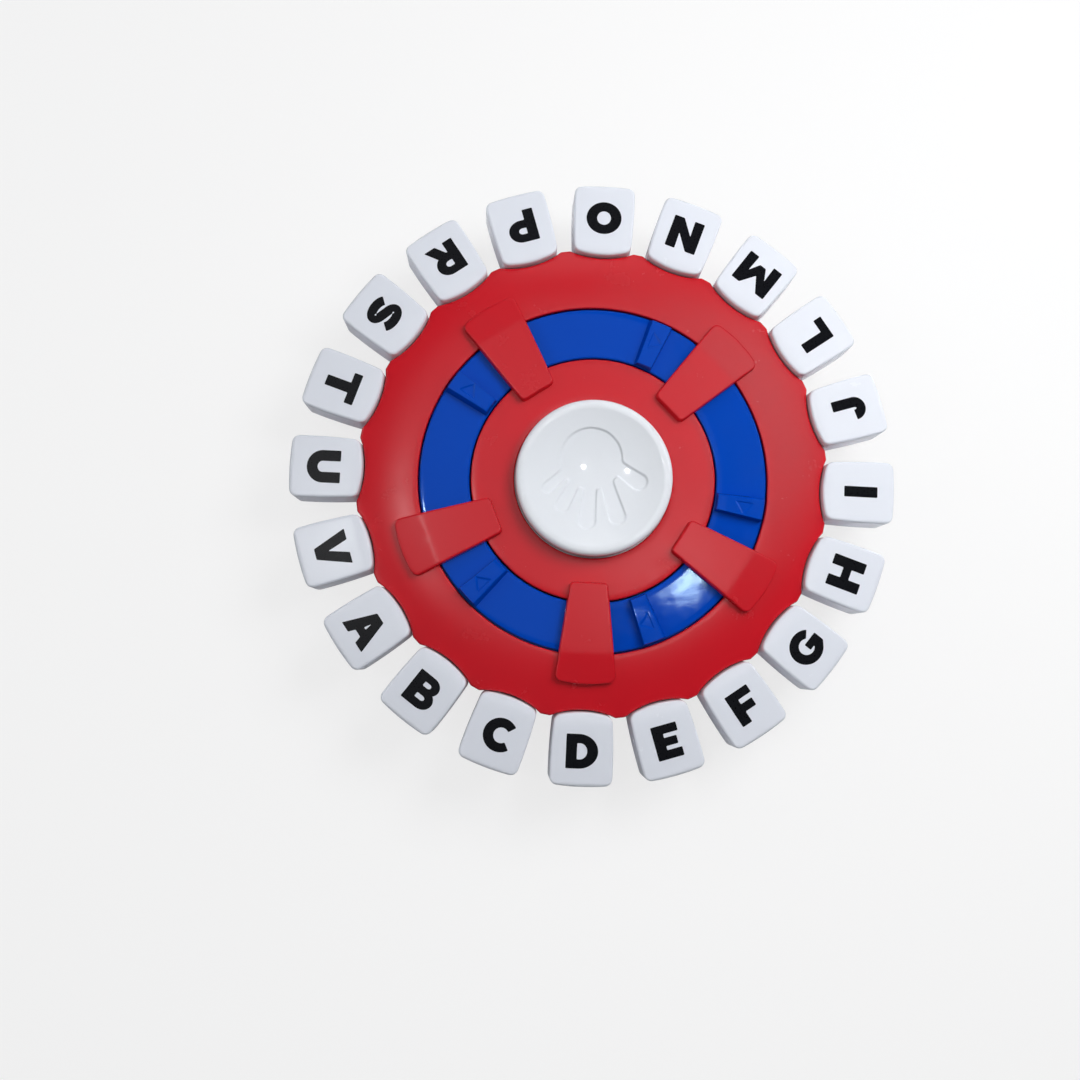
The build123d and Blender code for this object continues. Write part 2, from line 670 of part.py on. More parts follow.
def letter_key():
    """A hollow cap with a neck, two trunnions and the tail that the ring's cam presses."""
    foot = Pos(0, 0, NECK_LOW_Z)
    cap = foot * extrude(key_outline(), KEY_HEIGHT, taper=KEY_DRAFT) & key_profile()
    high = cap.edges().filter_by(lambda e: e.center().Z > KEY_TOP_Z - KEY_ROLL - KEY_NOSE)
    inner_end = high.sort_by(Axis.X)[:1]
    cap = fillet(inner_end + high.filter_by(lambda e: abs(e.center().Y) > KEY_INNER_WIDTH / 4), KEY_EDGE)
    lean = KEY_HEIGHT * math.tan(math.radians(KEY_DRAFT))
    cap -= foot * extrude(key_outline(KEY_WALL + lean), KEY_HEIGHT - KEY_WALL - KEY_TOP_FALL)
    half = NECK_WIDTH / 2
    pin = Pos(PIVOT_R, 0, PIVOT_Z) * Rot(90, 0, 0) * Cylinder(TRUNNION_R, NECK_WIDTH + 2 * TRUNNION_PROUD)
    neck = block((PIVOT_R, KEY_INNER_R + KEY_WALL), (-half, half), (NECK_LOW_Z, NECK_TOP_Z))
    tail_half = TAIL_WIDTH / 2
    tail = block((PIVOT_R - TAIL_LENGTH, PIVOT_R), (-tail_half, tail_half), (NECK_LOW_Z, TAIL_TOP_Z))
    return cap + [neck, pin, tail]


# Blue reset ring


def tab():
    """A raised finger tab with radial sides."""
    low_r, high_r = RING_INNER_R + TAB_INSET, RING_OUTER_R - TAB_INSET
    near = [polar(r, -TAB_HALF_ANGLE) for r in (low_r, high_r)]
    far = [polar(r, TAB_HALF_ANGLE) for r in (low_r, high_r)]
    plan = make_face(
        [
            Line(near[0], near[1]),
            ThreePointArc(near[1], (high_r, 0), far[1]),
            Line(far[1], far[0]),
            ThreePointArc(far[0], (low_r, 0), near[0]),
        ]
    )
    low = RING_TOP_Z - RING_WALL / 2
    body = Pos(0, 0, low) * extrude(plan, TAB_RISE + RING_WALL / 2, taper=TAB_DRAFT)
    return fillet(body.edges().filter_by(lambda e: e.center().Z > RING_TOP_Z), TAB_EDGE)


def cam():
    """A ramp under the flange that pushes a pressed key's tail back down."""
    half = CAM_WIDTH / 2
    high = CAM_FLANGE_TOP_Z - CAM_FLANGE_T / 2
    side = make_face(
        Polyline((-half, high), (half, high), (half, CAM_LOW_Z), (-half + CAM_RAMP, CAM_LOW_Z), close=True)
    )
    outer = CAM_FLANGE_R - RUN_CLEAR
    return Pos(outer - CAM_DEPTH, 0, 0) * extrude(Plane.YZ * side, CAM_DEPTH)


def reset_ring():
    body = pipe(RING_OUTER_R, RING_INNER_R, RING_LOW_Z, RING_TOP_Z)
    body = fillet(body.edges().group_by(Axis.Z)[-1], RING_WALL / 5)
    body += pipe(RING_OUTER_R, RING_OUTER_R - RING_SKIRT_T, RING_SKIRT_Z, RING_LOW_Z)
    body += pipe(RING_INNER_R + RING_SKIRT_T, RING_INNER_R, RING_SKIRT_Z, RING_LOW_Z)
    body += pipe(CAM_FLANGE_R, RING_OUTER_R - RING_SKIRT_T, RING_SKIRT_Z, CAM_FLANGE_TOP_Z)
    tabs = [spun(tab(), b + TAB_BEARING) for b in ARM_BEARINGS]
    cams = [spun(cam(), b + CAM_START) for b in key_bearings()]
    spot = polar(spring_anchor_r(), RING_PEG_BEARING)
    peg = disc(PEG_R, spring_axis_z() - PEG_R - RING_SPRING_R, RING_LOW_Z + RING_WALL / 2, spot)
    return body + tabs + cams + [peg] - spring_eye(RING_PEG_BEARING)


# Ring return spring, along the chord between its two pegs


def spring_anchor_r():
    return (RAIL_IN_R + RAIL_OUT_R) / 2 + RAIL_T / 2


def spring_axis_z():
    return RING_LOW_Z - RING_SPRING_DROP


def spring_chord():
    a = Vector(*polar(spring_anchor_r(), RING_PEG_BEARING), spring_axis_z())
    b = Vector(*polar(spring_anchor_r(), PLATE_PEG_BEARING), spring_axis_z())
    return a, b


def spring_eye(bearing):
    """The hole through a peg that the spring's straight end passes."""
    a, b = spring_chord()
    at = polar(spring_anchor_r(), bearing)
    line = Plane(origin=(at[0], at[1], spring_axis_z()), z_dir=b - a)
    return line * Cylinder(PEG_EYE_R, 4 * PEG_R)


def ring_spring():
    a, b = spring_chord()
    length = RING_SPRING_PITCH * RING_SPRING_TURNS
    bend = 2 * RING_SPRING_R
    lead = ((b - a).length - length) / 2 - bend + PEG_R
    body = coil(RING_SPRING_R, RING_SPRING_WIRE_R, RING_SPRING_PITCH, RING_SPRING_TURNS, lead, "ring_spring")
    middle = (a + b) * 0.5
    start = middle - unit(b - a) * (length / 2)
    return Plane(origin=start, z_dir=b - a, x_dir=(0, 0, 1)) * body


# Chassis plate


def board_screw_spots():
    return [polar(BOARD_R - BOARD_PAD_INSET, b) for b in bearings(GUIDE_COUNT, BOARD_SCREW_BEARING)]


def guide_spots():
    return [polar(GUIDE_R, b) for b in bearings(GUIDE_COUNT, GUIDE_BEARING)]


def chassis_plate():
    body = pipe(PLATE_R, PLATE_HOLE_R, PLATE_LOW_Z, PLATE_TOP_Z)
    rails = [
        pipe(RAIL_IN_R + RAIL_T, RAIL_IN_R, PLATE_TOP_Z, RING_LOW_Z),
        pipe(RAIL_OUT_R, RAIL_OUT_R - RAIL_T, PLATE_TOP_Z, RING_LOW_Z),
    ]
    pads = [disc(BOARD_PAD_R, PLATE_LOW_Z, BOARD_LOW_Z, at) for at in board_screw_spots()]
    tube_top = PLATE_TOP_Z + GUIDE_TUBE_RISE
    tubes = [disc(GUIDE_TUBE_R, PLATE_LOW_Z, tube_top, at) for at in guide_spots()]
    bosses = [disc(CASE_BOSS_R, CASE_BOSS_Z, PLATE_TOP_Z, at) for at in case_screw_spots()]
    peg_at = polar(spring_anchor_r(), PLATE_PEG_BEARING)
    peg = disc(PEG_R, PLATE_LOW_Z, spring_axis_z() + PEG_R + RING_SPRING_R, peg_at)
    body = body + rails + pads + tubes + bosses + [peg]
    holes = [disc(GUIDE_PIN_R + SLIDE_CLEAR, PLATE_LOW_Z, tube_top, at) for at in guide_spots()]
    holes += [
        disc(SMALL_SCREW_R + SCREW_CLEAR, BOARD_TOP_Z - SMALL_SCREW_LENGTH, BOARD_LOW_Z, at)
        for at in board_screw_spots()
    ]
    through = chassis_screw_spots() + hub_screw_spots()
    holes += [disc(SCREW_R + SCREW_CLEAR, PLATE_LOW_Z, PLATE_TOP_Z, at) for at in through]
    pilot_top = BASE_Z + SINK_DEPTH + CASE_SCREW_LENGTH
    holes += [disc(SCREW_R + SCREW_CLEAR, CASE_BOSS_Z, pilot_top, at) for at in case_screw_spots()]
    return body - (holes + [spring_eye(PLATE_PEG_BEARING)])


# Centre button


def capsule(start, end, start_r, end_r):
    """A tapered finger in plan: two circles and the lines that touch both."""
    a, b = Vector(*start), Vector(*end)
    along = unit(b - a)
    side = Vector(-along.Y, along.X)
    body = make_face(
        Polyline(
            a + side * start_r,
            b + side * end_r,
            b - side * end_r,
            a - side * start_r,
            close=True,
        )
    )
    return body + Pos(*start) * Circle(start_r) + Pos(*end) * Circle(end_r)


def hand_plan():
    """A plain open hand pointing to -Y."""
    palm = Pos(*PALM_AT) * Ellipse(*PALM_RADII)
    return palm + [capsule(*finger) for finger in FINGERS]


def centre_button():
    """A dished cap of even wall, with a flange that the disc holds, spring bosses, guide pins and a stem."""
    top = BUTTON_TOP_Z
    rim_in = BUTTON_R - BUTTON_RIM
    dish_in = rim_in - BUTTON_RIM / 2
    dish_r = (dish_in**2 + BUTTON_DISH**2) / (2 * BUTTON_DISH)
    wall_in = BUTTON_R - BUTTON_WALL
    lean = BUTTON_RIM * math.sqrt(0.5)
    outside = [
        ThreePointArc((0, top - BUTTON_DISH), (dish_in / 2, dish_z(dish_in / 2, dish_r)), (dish_in, top)),
        Line((dish_in, top), (rim_in, top)),
        ThreePointArc((rim_in, top), (rim_in + lean, top - BUTTON_RIM + lean), (BUTTON_R, top - BUTTON_RIM)),
        Polyline(
            (BUTTON_R, top - BUTTON_RIM),
            (BUTTON_R, DISC_LOW_Z),
            (BUTTON_R + BUTTON_FLANGE, DISC_LOW_Z),
            (BUTTON_R + BUTTON_FLANGE, BUTTON_FLANGE_Z),
            (0, BUTTON_FLANGE_Z),
            (0, top - BUTTON_DISH),
        ),
    ]
    roof = [(r, dish_z(r, dish_r) - BUTTON_WALL) for r in (0, wall_in / 2, wall_in)]
    inside = [
        ThreePointArc(*roof),
        Polyline(roof[2], (wall_in, BUTTON_FLANGE_Z), (0, BUTTON_FLANGE_Z), roof[0]),
    ]
    bosses = [disc(GUIDE_BOSS_R, SPRING_TOP_Z, top, at) for at in guide_spots()]
    stem_low = TACT_TOP_Z + BUTTON_TRAVEL
    hollow = turned(inside) - (bosses + [disc(BUTTON_STEM_R, BUTTON_FLANGE_Z, top)])
    ball = Pos(0, 0, top - BUTTON_DISH - HAND_DEPTH + dish_r) * Sphere(dish_r)
    hand = Pos(0, 0, top - BUTTON_DISH - BUTTON_WALL) * extrude(hand_plan(), BUTTON_DISH + BUTTON_WALL) & ball
    body = turned(outside) - hollow - hand
    pin_low = PLATE_TOP_Z + RUN_CLEAR
    pins = [disc(GUIDE_PIN_R, pin_low, SPRING_TOP_Z + BUTTON_WALL, at) for at in guide_spots()]
    return body + pins + [disc(BUTTON_STEM_R, stem_low, SPRING_TOP_Z)]


def dish_z(radius, dish_r):
    return BUTTON_TOP_Z - BUTTON_DISH + dish_r - math.sqrt(dish_r**2 - radius**2)


def button_springs():
    pitch = (SPRING_LENGTH - 2 * SPRING_WIRE_R - RUN_CLEAR) / SPRING_TURNS
    body = coil(SPRING_R, SPRING_WIRE_R, pitch, SPRING_TURNS, 0.0, "button_springs")
    low = PLATE_TOP_Z + SPRING_WIRE_R + RUN_CLEAR / 2
    return [Pos(at[0], at[1], low) * body for at in guide_spots()]


# Circuit board and what is on it


def circuit_board():
    body = disc(BOARD_R, BOARD_LOW_Z, BOARD_TOP_Z)
    holes = [disc(SMALL_SCREW_R + SCREW_CLEAR, BOARD_LOW_Z, BOARD_TOP_Z, at) for at in board_screw_spots()]
    return body - holes


def tact_switch():
    half = TACT_SIZE / 2
    body_top = BOARD_TOP_Z + TACT_HEIGHT
    body = block((-half, half), (-half, half), (BOARD_TOP_Z, body_top))
    return body + disc(TACT_PLUNGER_R, body_top, TACT_TOP_Z)


def board_parts():
    """Chip blob, capacitor, two resistors and a crystal, each lying on the board."""
    top = BOARD_TOP_Z
    slab = block((-BOARD_R, BOARD_R), (-BOARD_R, BOARD_R), (top, top + CHIP_RISE))
    blob = Pos(*CHIP_AT, top) * Sphere(CHIP_BALL_R) & slab
    capacitor = disc(CAPACITOR_R, top, top + CAPACITOR_H, CAPACITOR_AT)
    corner = (Align.MIN, Align.MIN, Align.MIN)
    resistors = [Pos(x, RESISTOR_Y, top) * Box(*RESISTOR_SIZE, align=corner) for x in RESISTOR_XS]
    crystal = Pos(*CRYSTAL_AT, top) * Box(*CRYSTAL_SIZE, align=corner)
    return [blob, capacitor, *resistors, crystal]


# Bottom housing


def bay_x():
    return BAY_LENGTH / 2


def bay_y():
    return BAY_WIDTH / 2


def door_plan(gap):
    """The door's two ends along each axis, with its screw ear at +X, grown by a gap."""
    x = (-bay_x() - DOOR_LAP - gap, bay_x() + DOOR_EAR + gap)
    y = (-bay_y() - DOOR_LAP - gap, bay_y() + DOOR_LAP + gap)
    return x, y


def door_screw_spot():
    return bay_x() + BAY_WALL + DOOR_BOSS_R + 2 * DOOR_GAP, 0.0


def tongue_ys():
    return [-bay_y() / 2, bay_y() / 2]


def tongue(y, gap):
    half = DOOR_TONGUE_WIDTH / 2 + gap
    x = (-bay_x() - DOOR_TONGUE - gap, -bay_x() + DOOR_TONGUE_T)
    return block(x, (y - half, y + half), (DOOR_TOP_Z - gap, DOOR_TOP_Z + DOOR_TONGUE_T + gap))


def foot_spots():
    return [polar(RING_OUTER_R + FOOT_OUTSET, b) for b in bearings(FOOT_COUNT, FOOT_BEARING)]


def grille_spots():
    spots = [(0.0, SPEAKER_Y)]
    for ring in range(1, GRILLE_RINGS):
        for b in bearings(6 * ring):
            x, y = polar(GRILLE_PITCH * ring, b)
            spots.append((x, y + SPEAKER_Y))
    return spots


def clamp_spots():
    out = SPEAKER_R + CLAMP_EAR
    return [(-out, SPEAKER_Y), (out, SPEAKER_Y)]


def switch_screw_spots():
    out = SWITCH_LENGTH / 2 + SWITCH_EAR / 2
    return [(-out, SWITCH_Y), (out, SWITCH_Y)]


def speaker_top_z():
    return FLOOR_Z + SPEAKER_LIP_T


def switch_low_z():
    return FLOOR_Z + SLIDER_PLATE_T + RUN_CLEAR


def bottom_housing():
    foot_r = SKIRT_R - BASE_DRAFT_IN
    shell = turned(
        Polyline((0, BASE_Z), (foot_r, BASE_Z), (SKIRT_R, PARTING_Z), (0, PARTING_Z), (0, BASE_Z))
    )
    shell = fillet(shell.edges().group_by(Axis.Z)[0], BASE_EDGE)
    shell -= turned(
        Polyline(
            (0, FLOOR_Z),
            (foot_r - WALL, FLOOR_Z),
            (SKIRT_R - WALL, PARTING_Z),
            (SKIRT_R - WALL, PARTING_Z + WALL),
            (0, PARTING_Z + WALL),
            (0, FLOOR_Z),
        )
    )
    lip_r = SKIRT_R - WALL - LIP_GAP
    lip_low = PARTING_Z - 2 * LIP_H
    lip = pipe(lip_r, lip_r - LIP_T, lip_low, PARTING_Z + LIP_H)
    lip += pipe(SKIRT_R - WALL, lip_r - LIP_T, lip_low, PARTING_Z)
    out_x, out_y = bay_x() + BAY_WALL, bay_y() + BAY_WALL
    bay = block((-out_x, out_x), (-out_y, out_y), (DOOR_TOP_Z, BAY_TOP_Z))
    ear_x = (bay_x(), bay_x() + DOOR_EAR + BAY_WALL)
    ear = block(ear_x, (-out_y, out_y), (DOOR_TOP_Z, DOOR_TOP_Z + DOOR_EAR_ROOF))
    boss = disc(DOOR_BOSS_R, DOOR_TOP_Z, DOOR_TOP_Z + DOOR_BOSS_H, door_screw_spot())
    posts = [disc(CASE_BOSS_R, BASE_Z + WALL / 2, CASE_BOSS_Z, at) for at in case_screw_spots()]
    ring = pipe(SPEAKER_R + WALL, SPEAKER_R + RUN_CLEAR, BASE_Z + WALL / 2, speaker_top_z(), (0, SPEAKER_Y))
    clamp_posts = [disc(BOARD_PAD_R, BASE_Z + WALL / 2, speaker_top_z(), at) for at in clamp_spots()]
    switch_posts = [disc(BOARD_PAD_R, BASE_Z + WALL / 2, switch_low_z(), at) for at in switch_screw_spots()]
    body = shell + [lip, bay, ear, boss, *posts, ring, *clamp_posts, *switch_posts]
    return body - base_cutters()


def base_cutters():
    door_x, door_y = door_plan(DOOR_GAP)
    cutters = [block(door_x, door_y, (BASE_Z - 1, DOOR_TOP_Z))]
    cutters += [block((-bay_x(), bay_x()), (-bay_y(), bay_y()), (BASE_Z - 1, BAY_ROOF_Z))]
    cutters += [tongue(y, DOOR_GAP) for y in tongue_ys()]
    door_pilot_top = DOOR_TOP_Z + DOOR_BOSS_H - WALL / 2
    cutters += [disc(SMALL_SCREW_R + SCREW_CLEAR, DOOR_TOP_Z, door_pilot_top, door_screw_spot())]
    seat = BASE_Z + SINK_DEPTH
    for at in case_screw_spots():
        cutters += [disc(SCREW_HEAD_R + 2 * RUN_CLEAR, BASE_Z - 1, seat, at)]
        cutters += [disc(SCREW_R + SCREW_CLEAR, seat, CASE_BOSS_Z, at)]
    cutters += [disc(FOOT_R + SCREW_CLEAR, BASE_Z - 1, BASE_Z + FOOT_SEAT, at) for at in foot_spots()]
    cutters += [disc(GRILLE_HOLE_R, BASE_Z - 1, FLOOR_Z + 1, at) for at in grille_spots()]
    for at in clamp_spots():
        low = speaker_top_z() + CLAMP_T - SMALL_SCREW_LENGTH
        cutters += [disc(SMALL_SCREW_R + SCREW_CLEAR, low, speaker_top_z(), at)]
    for at in switch_screw_spots():
        low = switch_low_z() + SLIDER_PLATE_T - SMALL_SCREW_LENGTH
        cutters += [disc(SMALL_SCREW_R + SCREW_CLEAR, low, switch_low_z(), at)]
    half = KNOB_LENGTH / 2 + SWITCH_TRAVEL / 2 + SLOT_CLEAR
    side = KNOB_WIDTH / 2 + SLOT_CLEAR
    cutters += [block((-half, half), (SWITCH_Y - side, SWITCH_Y + side), (BASE_Z - 1, FLOOR_Z + 1))]
    for x, y in contact_spots():
        cutters += [solder_tab(x, y, SLOT_CLEAR)]
    return cutters


def battery_door():
    x, y = door_plan(0.0)
    body = block(x, y, (BASE_Z, DOOR_TOP_Z))
    upright = body.edges().filter_by(Axis.Z)
    body = fillet(upright, DOOR_LAP)
    body = body + [tongue(at, 0.0) for at in tongue_ys()]
    spot = door_screw_spot()
    sink = disc(SMALL_HEAD_R + RUN_CLEAR, BASE_Z, BASE_Z + SMALL_HEAD_H, spot)
    hole = disc(SMALL_SCREW_R + SCREW_CLEAR, BASE_Z, DOOR_TOP_Z, spot)
    grips = [
        block((x[0] + g, x[0] + g + WALL / 2), (-bay_y() / 3, bay_y() / 3), (BASE_Z, BASE_Z + WALL / 4))
        for g in (2 * WALL, 3 * WALL, 4 * WALL)
    ]
    return body - [sink, hole, *grips]


# Cells and contacts


def cell_rows():
    """Each cell's place across the bay and which way its positive end points."""
    middle = (CELL_COUNT - 1) / 2
    return [((i - middle) * CELL_PITCH, 1 if i % 2 == 0 else -1) for i in range(CELL_COUNT)]


def cell(y, way):
    tip = bay_x() - CONTACT_T
    lying = Rot(0, 90, 0)
    body = Pos(tip - CELL_LENGTH, 0, 0) * lying * Cylinder(CELL_R, CELL_LENGTH - CELL_NUB, align=BOTTOM)
    body = fillet(body.edges(), CELL_R / 12)
    body += Pos(tip - 2 * CELL_NUB, 0, 0) * lying * Cylinder(CELL_NUB_R, 2 * CELL_NUB, align=BOTTOM)
    return Pos(0, y, CELL_Z) * Rot(0, 0, 0 if way > 0 else 180) * body


def contact_spots():
    return [(end * bay_x(), y) for y, _ in cell_rows() for end in (-1, 1)]


def solder_tab(x, y, gap):
    """The part of a contact that comes up through the bay's roof."""
    inner = x - math.copysign(CONTACT_T, x)
    span = (min(x, inner) - gap, max(x, inner) + gap) if gap else (min(x, inner), max(x, inner))
    span = (max(span[0], -bay_x()), min(span[1], bay_x()))
    half = CONTACT_WIDTH / 6 + gap
    return block(span, (y - half, y + half), (CELL_Z, LEAD_Z + gap))


def battery_contacts():
    plates = []
    for x, y in contact_spots():
        inner = x - math.copysign(CONTACT_T, x)
        half = CONTACT_WIDTH / 2
        z = (CELL_Z - CONTACT_HEIGHT / 2, CELL_Z + CONTACT_HEIGHT / 2)
        plate = block((min(x, inner), max(x, inner)), (y - half, y + half), z)
        plates.append(plate + solder_tab(x, y, 0.0))
    return plates


def battery_springs():
    room = BAY_LENGTH - 2 * CONTACT_T - CELL_LENGTH
    pitch = (room - 2 * CELL_SPRING_WIRE_R - RUN_CLEAR) / CELL_SPRING_TURNS
    body = coil(CELL_SPRING_R, CELL_SPRING_WIRE_R, pitch, CELL_SPRING_TURNS, 0.0, "battery_springs")
    start = bay_x() - CONTACT_T - CELL_SPRING_WIRE_R - RUN_CLEAR / 2
    springs = []
    for y, way in cell_rows():
        lying = Pos(-start, 0, 0) * Rot(0, 90, 0) * body
        springs.append(Pos(0, y, CELL_Z) * Rot(0, 0, 0 if way > 0 else 180) * lying)
    return springs


# Speaker


def speaker_frame():
    lip_in = SPEAKER_R - SPEAKER_LIP
    top = speaker_top_z() + SPEAKER_BASKET_H
    t = SPEAKER_METAL
    outline = Polyline(
        (SPEAKER_R, FLOOR_Z),
        (SPEAKER_R, speaker_top_z()),
        (lip_in + t, speaker_top_z()),
        (MAGNET_R, top),
        (0, top),
        (0, top - t),
        (MAGNET_R - t, top - t),
        (lip_in, speaker_top_z()),
        (lip_in, FLOOR_Z),
        close=True,
    )
    return Pos(0, SPEAKER_Y, 0) * turned(outline)


def speaker_magnet():
    low = speaker_top_z() + SPEAKER_BASKET_H
    return fillet(disc(MAGNET_R, low, low + MAGNET_H, (0, SPEAKER_Y)).edges(), SPEAKER_METAL)


def speaker_cone():
    edge = SPEAKER_R - SPEAKER_LIP - RUN_CLEAR
    low = FLOOR_Z + CONE_T
    deep = speaker_top_z() + SPEAKER_BASKET_H / 2
    outline = Polyline(
        (0, deep),
        (CONE_THROAT_R, deep),
        (edge, low),
        (edge, low + CONE_T),
        (CONE_THROAT_R, deep + CONE_T),
        (0, deep + CONE_T),
        close=True,
    )
    return Pos(0, SPEAKER_Y, 0) * turned(outline)


def speaker_clamp():
    low, high = speaker_top_z(), speaker_top_z() + CLAMP_T
    hold_in = SPEAKER_R - SPEAKER_LIP / 2
    body = disc(SPEAKER_R + WALL, low, high, (0, SPEAKER_Y))
    ears = [disc(BOARD_PAD_R + SIDE_CLEAR, low, high, at) for at in clamp_spots()]
    out = SPEAKER_R + CLAMP_EAR
    bar = block((-out, out), (SPEAKER_Y - BOARD_PAD_R, SPEAKER_Y + BOARD_PAD_R), (low, high))
    holes = [disc(SMALL_SCREW_R + SCREW_CLEAR, low, high, at) for at in clamp_spots()]
    return body + ears + [bar] - [disc(hold_in, low, high, (0, SPEAKER_Y)), *holes]


# Power switch


def power_slider():
    half, side = KNOB_LENGTH / 2, KNOB_WIDTH / 2
    x = -SWITCH_TRAVEL / 2
    knob = block((x - half, x + half), (SWITCH_Y - side, SWITCH_Y + side), (BASE_Z + KNOB_RECESS, FLOOR_Z))
    ridge = KNOB_RECESS / 2
    grooves = [
        block((x + g - ridge, x + g + ridge), (SWITCH_Y - side, SWITCH_Y + side),
              (BASE_Z + KNOB_RECESS, BASE_Z + 2 * KNOB_RECESS))
        for g in (-half / 2, 0.0, half / 2)
    ]
    reach = half + SWITCH_TRAVEL / 2 + 2 * SLOT_CLEAR
    plate = block((x - reach, x + reach), (SWITCH_Y - side - WALL / 2, SWITCH_Y + side + WALL / 2),
                  (FLOOR_Z, FLOOR_Z + SLIDER_PLATE_T))
    stem = SLIDER_STEM / 2
    pin = block((x - stem, x + stem), (SWITCH_Y - stem, SWITCH_Y + stem),
                (FLOOR_Z, switch_low_z() + SWITCH_HEIGHT / 3))
    return knob - grooves + [plate, pin]


def power_switch_body():
    low = switch_low_z()
    half, side = SWITCH_LENGTH / 2, SWITCH_WIDTH / 2
    body = block((-half, half), (SWITCH_Y - side, SWITCH_Y + side), (low, low + SWITCH_HEIGHT))
    ear = half + SWITCH_EAR
    body += block((-ear, ear), (SWITCH_Y - side, SWITCH_Y + side), (low, low + SLIDER_PLATE_T))
    run = SLIDER_STEM / 2 + SWITCH_TRAVEL / 2 + SLOT_CLEAR
    stem = SLIDER_STEM / 2 + SLOT_CLEAR
    slot = block((-run, run), (SWITCH_Y - stem, SWITCH_Y + stem), (low, low + SWITCH_HEIGHT / 2))
    holes = [disc(SMALL_SCREW_R + SCREW_CLEAR, low, low + SLIDER_PLATE_T, at) for at in switch_screw_spots()]
    return body - [slot, *holes]


# Inner wires


def lead(*points):
    line = FilletPolyline(*points, radius=LEAD_BEND)
    start = Vector(*points[0])
    return sweep(Plane(origin=start, z_dir=Vector(*points[1]) - start) * Circle(LEAD_R), path=line)


def board_leads(starts, landing):
    """Wires from a piece on the floor, over the battery bay and up through the plate to the board."""
    wires = []
    for (x, y, z), (bx, by) in zip(starts, landing):
        wires.append(lead((x, y, z), (x, y, LEAD_Z), (bx, by, LEAD_Z), (bx, by, BOARD_LOW_Z)))
    return wires


def speaker_leads():
    y = SPEAKER_Y - MAGNET_R - 2 * LEAD_R
    low = speaker_top_z() + CLAMP_T
    starts = [(s * LEAD_SPREAD, y, low + SPEAKER_BASKET_H) for s in (-1, 1)]
    return board_leads(starts, [(s * LEAD_SPREAD, PLATE_HOLE_R / 2) for s in (-1, 1)])


def switch_leads():
    low = switch_low_z() + SWITCH_HEIGHT
    starts = [(s * LEAD_SPREAD, SWITCH_Y, low) for s in (-1, 1)]
    return board_leads(starts, [(s * LEAD_SPREAD, -PLATE_HOLE_R / 2) for s in (-1, 1)])


def battery_leads():
    """Wires from the two end contacts, each leaving the side of its solder tab."""
    wires = []
    reach = bay_x() - CONTACT_T
    for way, (y, _) in zip((1, -1), (cell_rows()[0], cell_rows()[-1])):
        land = (way * 3 * LEAD_SPREAD, 0.0)
        start = (way * reach, y, LEAD_Z)
        turn = (land[0], y, LEAD_Z)
        wires.append(lead(start, turn, (land[0], land[1], LEAD_Z), (land[0], land[1], BOARD_LOW_Z)))
    return wires


def main():
    os.makedirs("parts", exist_ok=True)
    write(top_housing(), "top_housing")
    write(bottom_housing(), "bottom_housing")
    write(chassis_plate(), "chassis_plate")
    write(reset_ring(), "reset_ring")
    write(ring_spring(), "ring_spring")
    key = letter_key()
    for letter, bearing in zip(KEY_LETTERS, key_bearings()):
        write(spun(key, bearing), f"letter_key_{letter.lower()}")
    write(centre_button(), "centre_button")
    write(button_springs(), "button_springs")
    write(circuit_board(), "circuit_board")
    write(board_parts(), "board_parts")
    write(tact_switch(), "tact_switch")
    write(speaker_frame(), "speaker_frame")
    write(speaker_magnet(), "speaker_magnet")
    write(speaker_cone(), "speaker_cone")
    write(speaker_clamp(), "speaker_clamp")
    write(power_slider(), "power_slider")
    write(power_switch_body(), "power_switch_body")
    write([cell(y, way) for y, way in cell_rows()], "batteries")
    write(battery_contacts(), "battery_contacts")
    write(battery_springs(), "battery_springs")
    write(battery_door(), "battery_door")
    write(small_screw(door_screw_spot(), BASE_Z + SMALL_HEAD_H, down=False), "door_screw")
    case_seat = BASE_Z + SINK_DEPTH
    write([large_screw(at, case_seat, CASE_SCREW_LENGTH) for at in case_screw_spots()], "case_screws")
    plate_screw = CHASSIS_SCREW_LENGTH
    write([large_screw(at, PLATE_LOW_Z, plate_screw) for at in chassis_screw_spots()], "chassis_screws")
    write([large_screw(at, PLATE_LOW_Z, plate_screw) for at in hub_screw_spots()], "hub_screws")
    write([small_screw(at, BOARD_TOP_Z) for at in board_screw_spots()], "board_screws")
    write([small_screw(at, speaker_top_z() + CLAMP_T) for at in clamp_spots()], "speaker_screws")
    ear_top = switch_low_z() + SLIDER_PLATE_T
    write([small_screw(at, ear_top) for at in switch_screw_spots()], "switch_screws")
    feet = [fillet(disc(FOOT_R, 0, BASE_Z + FOOT_SEAT, at).edges().group_by(Axis.Z)[0], FOOT_SEAT / 2)
            for at in foot_spots()]
    write(feet, "rubber_feet")
    write(battery_leads(), "battery_leads")
    write(speaker_leads(), "speaker_leads")
    write(switch_leads(), "switch_leads")


if __name__ == "__main__":
    main()
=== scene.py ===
import json
import math

import bmesh
import bpy
import numpy as np
from mathutils import Matrix, Vector


